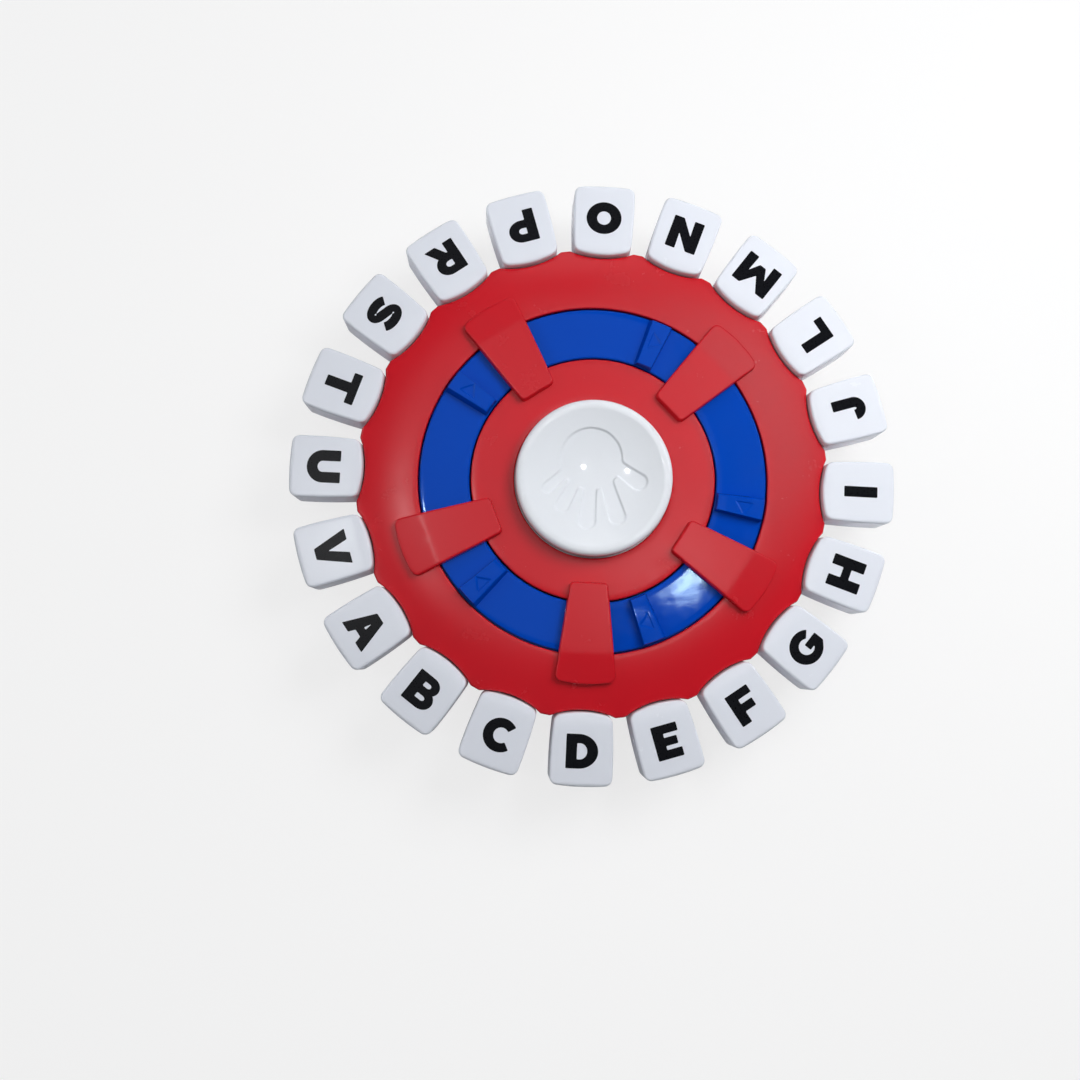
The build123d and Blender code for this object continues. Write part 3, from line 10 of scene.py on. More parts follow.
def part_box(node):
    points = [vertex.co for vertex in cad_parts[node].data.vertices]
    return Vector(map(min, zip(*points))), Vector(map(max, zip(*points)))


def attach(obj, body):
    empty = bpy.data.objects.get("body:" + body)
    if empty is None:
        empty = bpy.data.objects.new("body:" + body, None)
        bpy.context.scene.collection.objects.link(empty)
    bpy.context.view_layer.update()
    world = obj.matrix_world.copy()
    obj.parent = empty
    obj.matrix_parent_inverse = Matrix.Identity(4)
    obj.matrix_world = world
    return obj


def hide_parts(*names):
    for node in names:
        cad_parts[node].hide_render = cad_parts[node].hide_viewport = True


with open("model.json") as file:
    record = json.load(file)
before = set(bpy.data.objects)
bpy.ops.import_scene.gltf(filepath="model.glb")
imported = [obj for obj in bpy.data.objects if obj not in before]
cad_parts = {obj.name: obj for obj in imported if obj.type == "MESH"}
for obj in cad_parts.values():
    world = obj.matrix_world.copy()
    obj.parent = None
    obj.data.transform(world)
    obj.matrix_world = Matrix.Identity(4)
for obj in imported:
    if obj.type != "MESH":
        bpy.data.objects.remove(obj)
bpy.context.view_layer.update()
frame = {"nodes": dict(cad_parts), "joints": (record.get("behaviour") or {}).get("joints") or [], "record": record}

# An electronic letter wheel: twenty hinged keys round a red cover, a blue ring that turns under five arms,
# and a dished button. Shapes are drawn in millimetres and turned into metres when a mesh is made.

MM = 0.001


def low(node, axis):
    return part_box(node)[0][axis] / MM


def high(node, axis):
    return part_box(node)[1][axis] / MM


KEY_JOINTS = [joint for joint in frame["joints"] if joint["child"].startswith("letter_key_")]
HINGES = {joint["child"]: joint["pos_m"] for joint in KEY_JOINTS}
FIRST_HINGE = HINGES["letter_key_a"]
KEY_COUNT = len(HINGES)
KEY_PITCH = 360.0 / KEY_COUNT
FIRST_KEY_BEARING = math.degrees(math.atan2(FIRST_HINGE[1], FIRST_HINGE[0]))
PIVOT_R = math.hypot(FIRST_HINGE[0], FIRST_HINGE[1]) / MM
PIVOT_Z = FIRST_HINGE[2] / MM

# Wheel, measured out from the hinges
KEY_IN_R = PIVOT_R + 8.4
KEY_OUT_R = KEY_IN_R + 28.6
SKIRT_R = KEY_IN_R - 2.1
LOBE_R = KEY_IN_R + 3.2
RIM_IN_R = KEY_IN_R - 21.0
RING_OUT_R = RIM_IN_R - 0.6
RING_IN_R = RING_OUT_R - 19.2
DISC_R = RING_IN_R - 0.6
FLANGE_R = high("reset_ring", 0)
BUTTON_FLANGE = 2.2
BUTTON_R = high("centre_button", 0) - BUTTON_FLANGE
HOLE_R = BUTTON_R + 0.5

# Heights
PARTING_Z = low("top_housing", 2)
PLATE_TOP_Z = PARTING_Z + 1.6
ARM_TOP_Z = high("top_housing", 2)
DISC_TOP_Z = ARM_TOP_Z - 3.4
RING_LOW_Z = PIVOT_Z + 10.75
RING_TOP_Z = RING_LOW_Z + 2.2
RING_SKIRT_Z = RING_LOW_Z - 4.4
KEY_TOP_Z = high("letter_key_i", 2)
KEY_FOOT_Z = KEY_TOP_Z - 15.0
RIM_LOW_Z = PIVOT_Z + 2.4
BUTTON_TOP_Z = high("centre_button", 2)
WALL = 2.2

# Red cover
EDGE_DROP = 2.6
DOME_R = ((LOBE_R - RIM_IN_R) ** 2 + EDGE_DROP**2) / (2 * EDGE_DROP)
RIM_EDGE = 0.9
RIM_FOOT_EDGE = 0.5
LIP_EDGE = 0.5
NOTCH_HALF_WIDTH = 10.2
NOTCH_BOW = 1.7
NOTCH_GAP = 0.3
LOBE_TIP_WIDTH = 3.8
LOBE_SOFTNESS = 0.2  # degrees either side over which the scalloped edge is averaged
NOTCH_SPAN = 6.0  # degrees either side of a key's middle with coarser steps
ARM_BEARINGS = (46.0, 124.5, 203.0, 270.0, 329.5)
ARM_IN_R = 39.5
ARM_OUT_R = 78.5
ARM_IN_WIDTH = 14.6
ARM_OUT_WIDTH = 23.8
ARM_END_BOW = 1.5
ARM_IN_CORNER = 2.0
ARM_OUT_CORNER = 2.8
ARM_EDGE = 0.6
ARM_DRAFT = 4.0
ARM_BEND_R = 66.0
ARM_FALL = 1.4
ARM_CREASE = 1.6  # the bend's own length
BRIDGE_LIFT = 0.4
BRIDGE_OVERLAP = 0.2
DISC_SKIRT = 7.0
PILLAR_HALF = 3.0  # half of a hinge pillar's depth, along the wheel's radius
PILLAR_STEP = 2.1  # height over the pins' axis from which a pillar has its full width
PILLAR_FOOT = 2.05  # how far a pillar reaches under the pins' axis
PILLAR_EDGE = 0.3
NECK_PLAY = 0.4
PIN_PLAY = 0.2
PANEL_OVERLAP = 0.2
PANEL_EDGE = 0.18
PANEL_STEPS = 12
HUB_BOSS_COUNT = 5
HUB_BOSS_BEARING = 36.0
HUB_BOSS_PLACE_R = RING_IN_R - 7.6
HUB_BOSS_R = 3.2
HUB_BOSS_EDGE = 0.3
RIB_OUT_R = FLANGE_R - 2.0
RIB_WALL = 2.0
RIB_LIFT = 2.2
RIB_EDGE = 0.2

# Keys
KEY_IN_WIDTH = 22.6
KEY_OUT_WIDTH = 24.2
KEY_IN_BOW = 1.7
KEY_OUT_BOW = 0.9
KEY_SIDE_BOW = 0.4
KEY_CORNER = 3.4
KEY_DRAFT = 1.2
KEY_WALL = 1.8
KEY_ROLL = 5.0
KEY_ROLL_DROP = 0.8
KEY_NOSE = 2.0
KEY_EDGE = 0.9
KEY_FALL = 0.5
NECK_WIDTH = 15.0
TRUNNION_R = 2.0
TRUNNION_PROUD = 2.4
TAIL_LENGTH = 8.5
TAIL_WIDTH = 8.0
NECK_TOP = 2.0  # heights over the pins' axis
TAIL_TOP = 1.5
FOOT_STEP = 0.01  # keeps the feet of cap, neck and tail off one plane
BAR_EDGE = 0.35
PIN_EDGE = 0.3
PIN_STEPS = 28
LETTER_R = KEY_IN_R + 14.9
LETTER_CORNER = 0.35
LETTER_SPREAD = 0.27  # how far the ink runs past the drawn outline
INK = 0.05
INK_SUNK = 0.01

# Ring
RING_EDGE = 0.7
RING_WALL = 2.0
FLANGE_EDGE = 0.2
TAB_FROM_ARM = 22.4
TAB_RISE = 3.7
TAB_WIDTH = 7.3
TAB_END_GAP = 0.35
TAB_STEEP = 9.0  # slopes of a tab's sides and ends
TAB_SOFT = 3.2
TAB_SOFT_REACH = 1.0
TAB_END_SLOPE = 9.0
TAB_SHARP = 4.5
TAB_SUNK = 1.4
TAB_LEAN = 0.035  # fall of a tab's top per millimetre across it
TAB_DIP = 0.5  # how much lower a tab's top is at its inner end
TAB_DIP_REACH = 1.6
TAB_ROOT = 1.6
TAB_LENGTH = RING_OUT_R - RING_IN_R - 2 * TAB_END_GAP
ARROW_TIP = -2.75
ARROW_BACK = 1.95
ARROW_HALF = 3.6
ARROW_PLACE = 0.565
ARROW_DEPTH = 0.34
CAM_COUNT = KEY_COUNT
CAM_LEAD = 7.2
CAM_LENGTH = 7.4
CAM_RAMP = 3.7
CAM_DEPTH = 4.2
CAM_EDGE = 0.3
CAM_ROOT = 1.0  # how far a cam reaches up into the flange
CAM_TIP = 1.8  # height of its tip over the pins' axis

# Button
BUTTON_RIM = 2.1
BUTTON_DISH = 5.0
BUTTON_WALL = 2.0
DISH_IN_R = BUTTON_R - BUTTON_RIM * 1.5
HAND_DEPTH = 0.7
HAND_EDGE = 0.7
HAND_SHARP = 2.2  # how crisply the fingers meet the palm
PALM_AT = (-1.2, 7.6)
PALM_RADII = (11.8, 11.6)
FINGERS = (  # start, end, and the radius at each, in plan
    ((5.0, -1.0), (9.4, -14.3), 2.4, 3.2),
    ((-1.1, -3.0), (-2.0, -16.5), 2.4, 3.25),
    ((-7.4, -2.5), (-11.6, -10.8), 2.0, 2.7),
    ((-10.9, 1.7), (-17.5, -4.6), 1.9, 2.1),
    ((9.5, 4.5), (17.2, -0.8), 2.5, 3.2),
)
GUIDE_R = BUTTON_R - 5.9
GUIDE_BOSS_R = 4.4
GUIDE_BEARING = 75.0
GUIDE_COUNT = 3
GUIDE_PIN_R = 1.5
GUIDE_PIN_GAP = 0.2  # from the plate to a pin's foot
GUIDE_BOSS_EDGE = 0.3
POST_EDGE = 0.4
SPRING_LENGTH = 12.0
STEM_R = 3.6
STEM_LIFT = 11.1


# Meshes

ROUND_STEPS = 360  # stations round a plain turned piece
SMOOTH_ANGLE = math.radians(33)
SKIN_SMOOTH_ANGLE = math.radians(28)  # for the solids that keep their own shape


class Form:
    """The skin of one piece, gathered from runs of rings."""

    def __init__(self):
        self.points = []
        self.faces = []

    def loft(self, rings, loop=True, closed=False, start_cap=False, end_cap=False):
        """Skins rings of equal count. With loop a ring's own ends join, with closed the last ring joins the
        first."""
        base, count, size = len(self.points), len(rings), len(rings[0])
        for ring in rings:
            self.points.extend(tuple(p) for p in ring)
        spans = size if loop else size - 1
        for i in range(count if closed else count - 1):
            a, b = base + i * size, base + (i + 1) % count * size
            for j in range(spans):
                k = (j + 1) % size
                self.faces.append((a + j, a + k, b + k, b + j))
        if start_cap:
            self.faces.append(tuple(base + j for j in reversed(range(size))))
        if end_cap:
            self.faces.append(tuple(base + (count - 1) * size + j for j in range(size)))
        return self

    def mesh(self, name):
        data = bpy.data.meshes.new(name)
        data.from_pydata([Vector(p) * MM for p in self.points], [], self.faces)
        return tidy(data)


def smoothed(data, angle=SMOOTH_ANGLE):
    """Shades a mesh smoothly, apart from its crisp edges."""
    data.shade_smooth()
    data.set_sharp_from_angle(angle=angle)
    return data


def tidy(data):
    """Closes seams and poles, points the faces outwards and shades smoothly between crisp edges."""
    work = bmesh.new()
    work.from_mesh(data)
    bmesh.ops.remove_doubles(work, verts=work.verts, dist=2e-6)
    bmesh.ops.dissolve_degenerate(work, edges=work.edges, dist=1e-7)
    bmesh.ops.recalc_face_normals(work, faces=work.faces)
    work.to_mesh(data)
    work.free()
    return smoothed(data)


def joined(name, parts):
    """Several meshes as one."""
    work = bmesh.new()
    for part in parts:
        work.from_mesh(part)
    data = bpy.data.meshes.new(name)
    work.to_mesh(data)
    work.free()
    return smoothed(data)


def turned_copy(data, bearing, name=None):
    """A copy at a bearing in degrees about the wheel's axis."""
    copy = data.copy()
    if name:
        copy.name = name
    copy.transform(Matrix.Rotation(math.radians(bearing), 4, "Z"))
    return copy


def baked(thing):
    """The plain mesh of an object with its modifiers or its curve worked out. The object itself goes."""
    bpy.context.scene.collection.objects.link(thing)
    bpy.context.view_layer.update()
    graph = bpy.context.evaluated_depsgraph_get()
    data = bpy.data.meshes.new_from_object(thing.evaluated_get(graph))
    bpy.data.objects.remove(thing)
    return data


def full_turn(steps):
    return [2 * math.pi * i / steps for i in range(steps)]


def swung(section, turn):
    """Radius and height pairs as points at one turn about the wheel's axis."""
    return [(r * math.cos(turn), r * math.sin(turn), z) for r, z in section]


def quarter(steps):
    """Sines and cosines through a right angle."""
    turns = [math.pi / 2 * i / steps for i in range(steps + 1)]
    return [(math.sin(t), math.cos(t)) for t in turns]


def bow(a, b, height, count=1200):
    """A shallow arc from a to b that stands out on its right by a height."""
    a, b = np.array(a, float), np.array(b, float)
    along = b - a
    side = np.array([along[1], -along[0]]) / np.hypot(*along)
    t = np.linspace(0, 1, count)[:, None]
    return a + along * t + side * (4 * height * t * (1 - t))


def left_of(line):
    """Directions square to a line, on its left."""
    ahead = np.gradient(line, axis=0)
    ahead /= np.linalg.norm(ahead, axis=1)[:, None]
    return np.stack([-ahead[:, 1], ahead[:, 0]], axis=1)


def rounded(sides, radii, corner_steps=8, side_steps=12):
    """An outline, the same on both sides of the X axis, from side lines joined by arcs. They run
    anticlockwise, the first side crosses the axis, and each radius is that of the corner after its side."""
    count = len(sides)
    corners = []
    for i, radius in enumerate(radii):
        here, ahead = (side + left_of(side) * radius for side in (sides[i], sides[(i + 1) % count]))
        gaps = np.linalg.norm(here[::2, None] - ahead[None, ::2], axis=2)
        leave, join = (2 * k for k in np.unravel_index(gaps.argmin(), gaps.shape))
        corners.append((leave, join, (here[leave] + ahead[join]) / 2))
    points = []
    for i, (leave, join, centre) in enumerate(corners):
        picks = np.linspace(corners[i - 1][1], leave, side_steps + 2)[1:-1].round().astype(int)
        points.extend(sides[i][picks])
        ends = (sides[i][leave] - centre, sides[(i + 1) % count][join] - centre)
        first, last = (math.atan2(y, x) for x, y in ends)
        last += 2 * math.pi if last < first else 0.0
        for turn in np.linspace(first, last, corner_steps + 1):
            points.append(centre + radii[i] * np.array([math.cos(turn), math.sin(turn)]))
    points = np.array(points)
    partner = (side_steps - 1 - np.arange(len(points))) % len(points)
    return (points + points[partner] * (1, -1)) / 2


def drawn_in(outline, depth):
    """The outline moved inwards, square to its own edge."""
    ahead = np.roll(outline, -1, axis=0) - np.roll(outline, 1, axis=0)
    ahead /= np.linalg.norm(ahead, axis=1)[:, None]
    inward = np.stack([-ahead[:, 1], ahead[:, 0]], axis=1)
    return outline + inward * np.reshape(depth, (-1, 1))


def lifted(outline, heights):
    """A flat outline at its heights."""
    return np.column_stack([outline, np.broadcast_to(heights, len(outline))])


def drape(outline, ends, surface, shares):
    """Rings that close an outline's face towards the line between two ends, laid on a surface."""
    middle = np.column_stack([np.clip(outline[:, 0], *ends), np.zeros(len(outline))])
    rings = []
    for share in shares:
        flat = outline + (middle - outline) * share
        rings.append(lifted(flat, surface(flat)))
    return rings


TOP_SHARES = (0.05, 0.11, 0.18, 0.26, 0.36, 0.48, 0.64, 0.82, 1.0)


def capped(outline, ends, foot, top, edge, draft, hollow=None):
    """A block on an outline: drafted walls, a rounded top edge, and a foot and a top laid on surfaces."""
    slope = math.tan(math.radians(draft))
    lean = (top(outline) - foot(outline)) * slope
    rings = drape(outline, ends, foot, TOP_SHARES[::-1]) if hollow is None else hollow
    rings = rings + [lifted(outline, foot(outline))]
    for share in (0.33, 0.67):
        wall = drawn_in(outline, lean * share)
        rings.append(lifted(wall, foot(wall) + (top(wall) - edge - foot(wall)) * share))
    for sine, cosine in quarter(5):
        ring = drawn_in(outline, lean + edge * (1 - cosine))
        rings.append(lifted(ring, top(ring) - edge * (1 - sine)))
    last = rings[-1][:, :2]
    rings += drape(last, ends, top, TOP_SHARES)
    return Form().loft(rings)


def turned(section):
    """A piece turned about the wheel's axis, from radius and height pairs."""
    return Form().loft([swung(section, turn) for turn in full_turn(ROUND_STEPS)], closed=True)


def soft_box(low_r, high_r, low_z, high_z, edge, steps=3):
    """A closed rectangular section with rounded corners."""
    corners = [(high_r, low_z, 1, -1), (high_r, high_z, 1, 1), (low_r, high_z, -1, 1), (low_r, low_z, -1, -1)]
    section = []
    for r, z, out, up in corners:
        arc = [(r - out * edge * (1 - s), z - up * edge * (1 - c)) for s, c in quarter(steps)]
        section += arc if out * up < 0 else arc[::-1]
    return section


def sector(low_r, high_r, low_b, high_b, low_z, high_z, edge, steps=8):
    """A curved block between two bearings, rounded on every edge."""
    rings = []
    swing = math.degrees(edge * 2 / (low_r + high_r))
    stations = [(low_b + swing * (1 - c), 1 - s) for s, c in quarter(3)]
    stations += [(b, 0.0) for b in np.linspace(low_b + swing, high_b - swing, steps)[1:-1]]
    stations += [(high_b - swing * (1 - c), 1 - s) for s, c in quarter(3)[::-1]]
    for bearing, short in stations:
        turn, drawn = math.radians(bearing), edge * short
        section = soft_box(low_r + drawn, high_r - drawn, low_z + drawn, high_z - drawn, edge)
        rings.append(swung(section, turn))
    return Form().loft(rings, start_cap=True, end_cap=True)


def rod(x, y, low_z, high_z, radius, edge, steps=28):
    """An upright pin with rounded ends."""
    profile = [(0.0, low_z)]
    profile += [(radius - edge * (1 - s), low_z + edge * (1 - c)) for s, c in quarter(3)]
    profile += [(radius - edge * (1 - s), high_z - edge * (1 - c)) for s, c in quarter(3)[::-1]]
    profile += [(0.0, high_z)]
    rings = []
    for turn in full_turn(steps):
        rings.append([(x + r * math.cos(turn), y + r * math.sin(turn), z) for r, z in profile])
    return Form().loft(rings, loop=False, closed=True)


# Repeats about the wheel's axis, by a node tree


def spread_tree():
    """Copies what it is given round the Z axis, evenly, from a first bearing."""
    tree = bpy.data.node_groups.new("spread_round_axis", "GeometryNodeTree")
    sockets = {}
    kinds = {"Geometry": "Geometry", "Count": "Int", "First bearing": "Float", "Finish": "Material"}
    for name, kind in kinds.items():
        sockets[name] = tree.interface.new_socket(name, in_out="INPUT", socket_type=f"NodeSocket{kind}")
    tree.interface.new_socket("Geometry", in_out="OUTPUT", socket_type="NodeSocketGeometry")
    tree.is_modifier = True

    def node(kind, *inputs, **settings):
        made = tree.nodes.new(kind)
        for setting, value in settings.items():
            setattr(made, setting, value)
        for socket, value in inputs:
            if isinstance(value, bpy.types.NodeSocket):
                tree.links.new(value, made.inputs[socket])
            else:
                made.inputs[socket].default_value = value
        return made

    given = node("NodeGroupInput").outputs
    points = node("GeometryNodePoints", ("Count", given["Count"]))
    index = node("GeometryNodeInputIndex").outputs[0]
    step = node("ShaderNodeMath", (0, 2 * math.pi), (1, given["Count"]), operation="DIVIDE").outputs[0]
    first = given["First bearing"]
    turn = node("ShaderNodeMath", (0, index), (1, step), (2, first), operation="MULTIPLY_ADD")
    spin = node("ShaderNodeCombineXYZ", ("Z", turn.outputs[0])).outputs[0]
    copies = node(
        "GeometryNodeInstanceOnPoints",
        ("Points", points.outputs[0]),
        ("Instance", given["Geometry"]),
        ("Rotation", spin),
    )
    real = node("GeometryNodeRealizeInstances", ("Geometry", copies.outputs[0]))
    painted = node("GeometryNodeSetMaterial", ("Geometry", real.outputs[0]), ("Material", given["Finish"]))
    node("NodeGroupOutput", ("Geometry", painted.outputs[0]))
    return tree, {name: socket.identifier for name, socket in sockets.items()}


SPREAD, SPREAD_INPUTS = spread_tree()


def spread(data, count, first_bearing, paint):
    """The plain mesh that the tree makes from one copy."""
    one = bpy.data.objects.new("one_of_many", data)
    modifier = one.modifiers.new("spread", "NODES")
    modifier.node_group = SPREAD
    modifier[SPREAD_INPUTS["Count"]] = count
    modifier[SPREAD_INPUTS["First bearing"]] = math.radians(first_bearing)
    modifier[SPREAD_INPUTS["Finish"]] = paint
    return baked(one)


def piece(name, data, body, paint, nodes=()):
    """Puts a finished mesh in the scene, riding on its body."""
    data.materials.clear()
    data.materials.append(paint)
    thing = bpy.data.objects.new(name, data)
    bpy.context.scene.collection.objects.link(thing)
    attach(thing, body)
    if nodes:
        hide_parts(*nodes)
    return thing


# Finishes


class Wire:
    """A value on its way through a material's nodes, so that sums can be written as sums."""

    def __init__(self, finish, socket):
        self.finish = finish
        self.socket = socket

    def through(self, operation, other):
        return self.finish.node("ShaderNodeMath", {"operation": operation}, {0: self, 1: other})

    def __add__(self, other):
        return self.through("ADD", other)

    def __mul__(self, other):
        return self.through("MULTIPLY", other)

    __radd__ = __add__
    __rmul__ = __mul__


class Finish:
    """One material, built on the object's own coordinates."""

    def __init__(self, name, **sockets):
        self.material = bpy.data.materials.new(name)
        self.material.use_nodes = True
        self.tree = self.material.node_tree
        self.shader = next(n for n in self.tree.nodes if n.type == "BSDF_PRINCIPLED")
        self.place = self.node("ShaderNodeTexCoord", {}, {}, "Object")
        for socket, value in sockets.items():
            self.set(socket.replace("_", " "), value)

    def node(self, kind, settings, values, output=0):
        """Adds a node: its settings first, then the values or wires of its sockets."""
        made = self.tree.nodes.new(kind)
        for setting, value in settings.items():
            if setting == "stops":
                self.fill_ramp(made.color_ramp, value)
            else:
                setattr(made, setting, value)
        for socket, value in values.items():
            if isinstance(value, Wire):
                self.tree.links.new(value.socket, made.inputs[socket])
            else:
                made.inputs[socket].default_value = value
        return Wire(self, made.outputs[output])

    def fill_ramp(self, ramp, stops):
        while len(ramp.elements) < len(stops):
            ramp.elements.new(0.5)
        for element, (place, shade) in zip(ramp.elements, stops):
            element.position = place
            element.color = (shade, shade, shade, 1.0)

    def set(self, socket, value):
        if isinstance(value, Wire):
            self.tree.links.new(value.socket, self.shader.inputs[socket])
        else:
            self.shader.inputs[socket].default_value = value

    def noise(self, scale, detail=2.0, roughness=0.5, place=None):
        values = {"Vector": place or self.place, "Scale": scale, "Detail": detail, "Roughness": roughness}
        return self.node("ShaderNodeTexNoise", {}, values)

    def ramp(self, value, *stops):
        return self.node("ShaderNodeValToRGB", {"stops": stops}, {"Fac": value})

    def stretched(self, scale):
        return self.node("ShaderNodeMapping", {}, {"Vector": self.place, "Scale": scale})

    def mix(self, share, a, b):
        """Two colours mixed by a share."""
        wires = {0: share, 6: a, 7: b}
        return self.node("ShaderNodeMix", {"data_type": "RGBA"}, wires, 2)

    def bump(self, height, depth, normal=None):
        """A relief whose depth is in metres."""
        values = {"Strength": 1.0, "Distance": depth, "Height": height}
        if normal:
            values["Normal"] = normal
        return self.node("ShaderNodeBump", {}, values)


def rgb(red, green, blue):
    return (red, green, blue, 1.0)


def moulded(name, colour, shade, gloss, wave=0.00004, grain=0.0000025, scuff=0.08, **sockets):
    """Moulded plastic: slow tint changes, a faintly wavy skin, fine grain and a few rubbed places."""
    finish = Finish(name, **{"IOR": 1.48, **sockets})
    slow = finish.noise(14.0, 3.0)
    fine = finish.noise(900.0, 3.0, 0.6)
    rubbed = finish.ramp(finish.noise(55.0, 4.0, 0.62), (0.48, 0.0), (0.72, 1.0))
    finish.set("Base Color", finish.mix(slow * 0.8 + rubbed * 0.06, colour, shade))
    finish.set("Roughness", gloss + rubbed * scuff + fine * 0.03)
    waves = finish.bump(finish.noise(38.0, 3.0, 0.45), wave)
    finish.set("Normal", finish.bump(fine, grain, normal=waves))
    return finish.material


def cover_red():
    """Satin gloss red with a fine sparkle in its skin."""
    colour, shade = rgb(0.65, 0.008, 0.019), rgb(0.57, 0.005, 0.013)
    return moulded("red_gloss", colour, shade, 0.23, grain=0.000006, scuff=0.04)


def ring_blue():
    """High gloss blue, wavy enough to break up a lamp's reflection."""
    colour, shade, sheen = rgb(0.0, 0.064, 0.51), rgb(0.0, 0.053, 0.44), rgb(0.55, 0.80, 1.0)
    return moulded("blue_gloss", colour, shade, 0.05, wave=0.0002, IOR=1.34, Specular_Tint=sheen)


def key_white():
    colour, shade = rgb(0.84, 0.87, 0.945), rgb(0.81, 0.84, 0.915)
    return moulded("key_white", colour, shade, 0.22, wave=0.00001, scuff=0.05)


def button_white():
    colour, shade = rgb(0.89, 0.92, 0.965), rgb(0.86, 0.89, 0.935)
    return moulded("button_white", colour, shade, 0.05, wave=0.00001, scuff=0.02)


def base_red():
    """The same red plastic from a tool with a fine spark texture."""
    finish = Finish("red_textured", IOR=1.48)
    slow = finish.noise(12.0, 3.0)
    spark = finish.noise(1500.0, 4.0, 0.7)
    pits = finish.ramp(finish.noise(700.0, 2.0), (0.42, 0.0), (0.60, 1.0))
    finish.set("Base Color", finish.mix(slow, rgb(0.58, 0.010, 0.018), rgb(0.47, 0.006, 0.012)))
    finish.set("Roughness", spark * 0.2 + 0.42)
    finish.set("Normal", finish.bump(spark * 0.6 + pits * 0.4, 0.00003))
    return finish.material


def letter_ink():
    """Pad-printed black: a thin even skin with a faint speckle."""
    finish = Finish("letter_ink", IOR=1.5, Specular_IOR_Level=0.2)
    speck = finish.noise(1800.0, 3.0, 0.7)
    finish.set("Base Color", finish.mix(speck, rgb(0.0015, 0.0018, 0.0035), rgb(0.004, 0.0045, 0.007)))
    finish.set("Roughness", speck * 0.14 + 0.22)
    finish.set("Normal", finish.bump(speck, 0.000012))
    return finish.material


def soft_rubber():
    finish = Finish("foot_rubber", IOR=1.5)
    grain = finish.noise(1200.0, 4.0, 0.7)
    dust = finish.ramp(finish.noise(160.0, 3.0), (0.5, 0.0), (0.8, 1.0))
    finish.set("Base Color", finish.mix(dust * 0.4, rgb(0.018, 0.018, 0.019), rgb(0.075, 0.073, 0.070)))
    finish.set("Roughness", dust * 0.15 + 0.66)
    finish.set("Normal", finish.bump(grain, 0.00004))
    return finish.material


def metal(name, colour, shade, gloss, lines=(1.0, 1.0, 60.0), depth=0.000004):
    """Plated or drawn metal: fine lines one way, a little dulling."""
    finish = Finish(name, Metallic=1.0)
    drawn = finish.noise(700.0, 3.0, 0.6, finish.stretched(lines))
    dull = finish.ramp(finish.noise(220.0, 4.0), (0.45, 0.0), (0.75, 1.0))
    finish.set("Base Color", finish.mix(dull * 0.6, colour, shade))
    finish.set("Roughness", drawn * 0.12 + dull * 0.14 + gloss)
    finish.set("Normal", finish.bump(drawn, depth))
    return finish.material


def dull_plastic(name, colour, shade, roughness=0.5, grain=0.00002):
    finish = Finish(name, IOR=1.46)
    slow = finish.noise(60.0, 3.0)
    fine = finish.noise(1300.0, 3.0, 0.7)
    finish.set("Base Color", finish.mix(slow, colour, shade))
    finish.set("Roughness", fine * 0.16 + roughness)
    finish.set("Normal", finish.bump(fine, grain))
    return finish.material


def board_green():
    """Solder mask over copper tracks, which show as slightly raised, lighter lines."""
    finish = Finish("board_green", IOR=1.5)
    cells = finish.node(
        "ShaderNodeTexVoronoi",
        {"feature": "DISTANCE_TO_EDGE"},
        {"Vector": finish.place, "Scale": 260.0, "Randomness": 0.35},
    )
    tracks = finish.ramp(cells, (0.05, 1.0), (0.12, 0.0))
    finish.set("Base Color", finish.mix(tracks, rgb(0.012, 0.10, 0.035), rgb(0.03, 0.20, 0.075)))
    finish.set("Roughness", tracks * 0.08 + 0.3)
    finish.set("Normal", finish.bump(tracks, 0.00003))
    return finish.material


PAINTS = {
    "red_housing": cover_red(),
    "red_base": base_red(),
    "blue_ring": ring_blue(),
    "white_keys": key_white(),
    "white_button": button_white(),
    "grey_frame": dull_plastic("frame_grey", rgb(0.19, 0.195, 0.21), rgb(0.15, 0.155, 0.17)),
    "switch_body": metal("switch_plate", rgb(0.60, 0.60, 0.61), rgb(0.42, 0.42, 0.43), 0.28),
    "black_slider": dull_plastic("slider_black", rgb(0.016, 0.016, 0.017), rgb(0.026, 0.026, 0.027), 0.42),
    "spring_steel": metal("spring_steel", rgb(0.58, 0.58, 0.60), rgb(0.40, 0.39, 0.38), 0.22),
    "nickel_contacts": metal("nickel_plate", rgb(0.66, 0.64, 0.58), rgb(0.48, 0.46, 0.41), 0.24),
    "board": board_green(),
    "board_parts": dull_plastic("component_black", rgb(0.014, 0.014, 0.015), rgb(0.028, 0.028, 0.030), 0.36),
    "speaker_steel": metal("pressed_steel", rgb(0.46, 0.46, 0.48), rgb(0.33, 0.33, 0.34), 0.34),
    "magnet": dull_plastic("ferrite", rgb(0.045, 0.045, 0.050), rgb(0.075, 0.073, 0.072), 0.55, 0.00005),
    "speaker_cone": dull_plastic("cone_film", rgb(0.020, 0.020, 0.022), rgb(0.034, 0.033, 0.032), 0.40),
    "cells": dull_plastic("cell_sleeve", rgb(0.030, 0.055, 0.075), rgb(0.045, 0.070, 0.090), 0.26),
    "screws": metal("zinc_plate", rgb(0.50, 0.51, 0.53), rgb(0.34, 0.34, 0.35), 0.26),
    "foot_rubber": soft_rubber(),
    "lead_sleeve": dull_plastic("wire_sleeve", rgb(0.12, 0.010, 0.012), rgb(0.18, 0.018, 0.018), 0.40),
}
INK_PAINT = letter_ink()


# Red cover


def dome_z(radius):
    """Height of the cover's domed rim."""
    return DISC_TOP_Z - DOME_R + np.sqrt(DOME_R**2 - (radius - RIM_IN_R) ** 2)


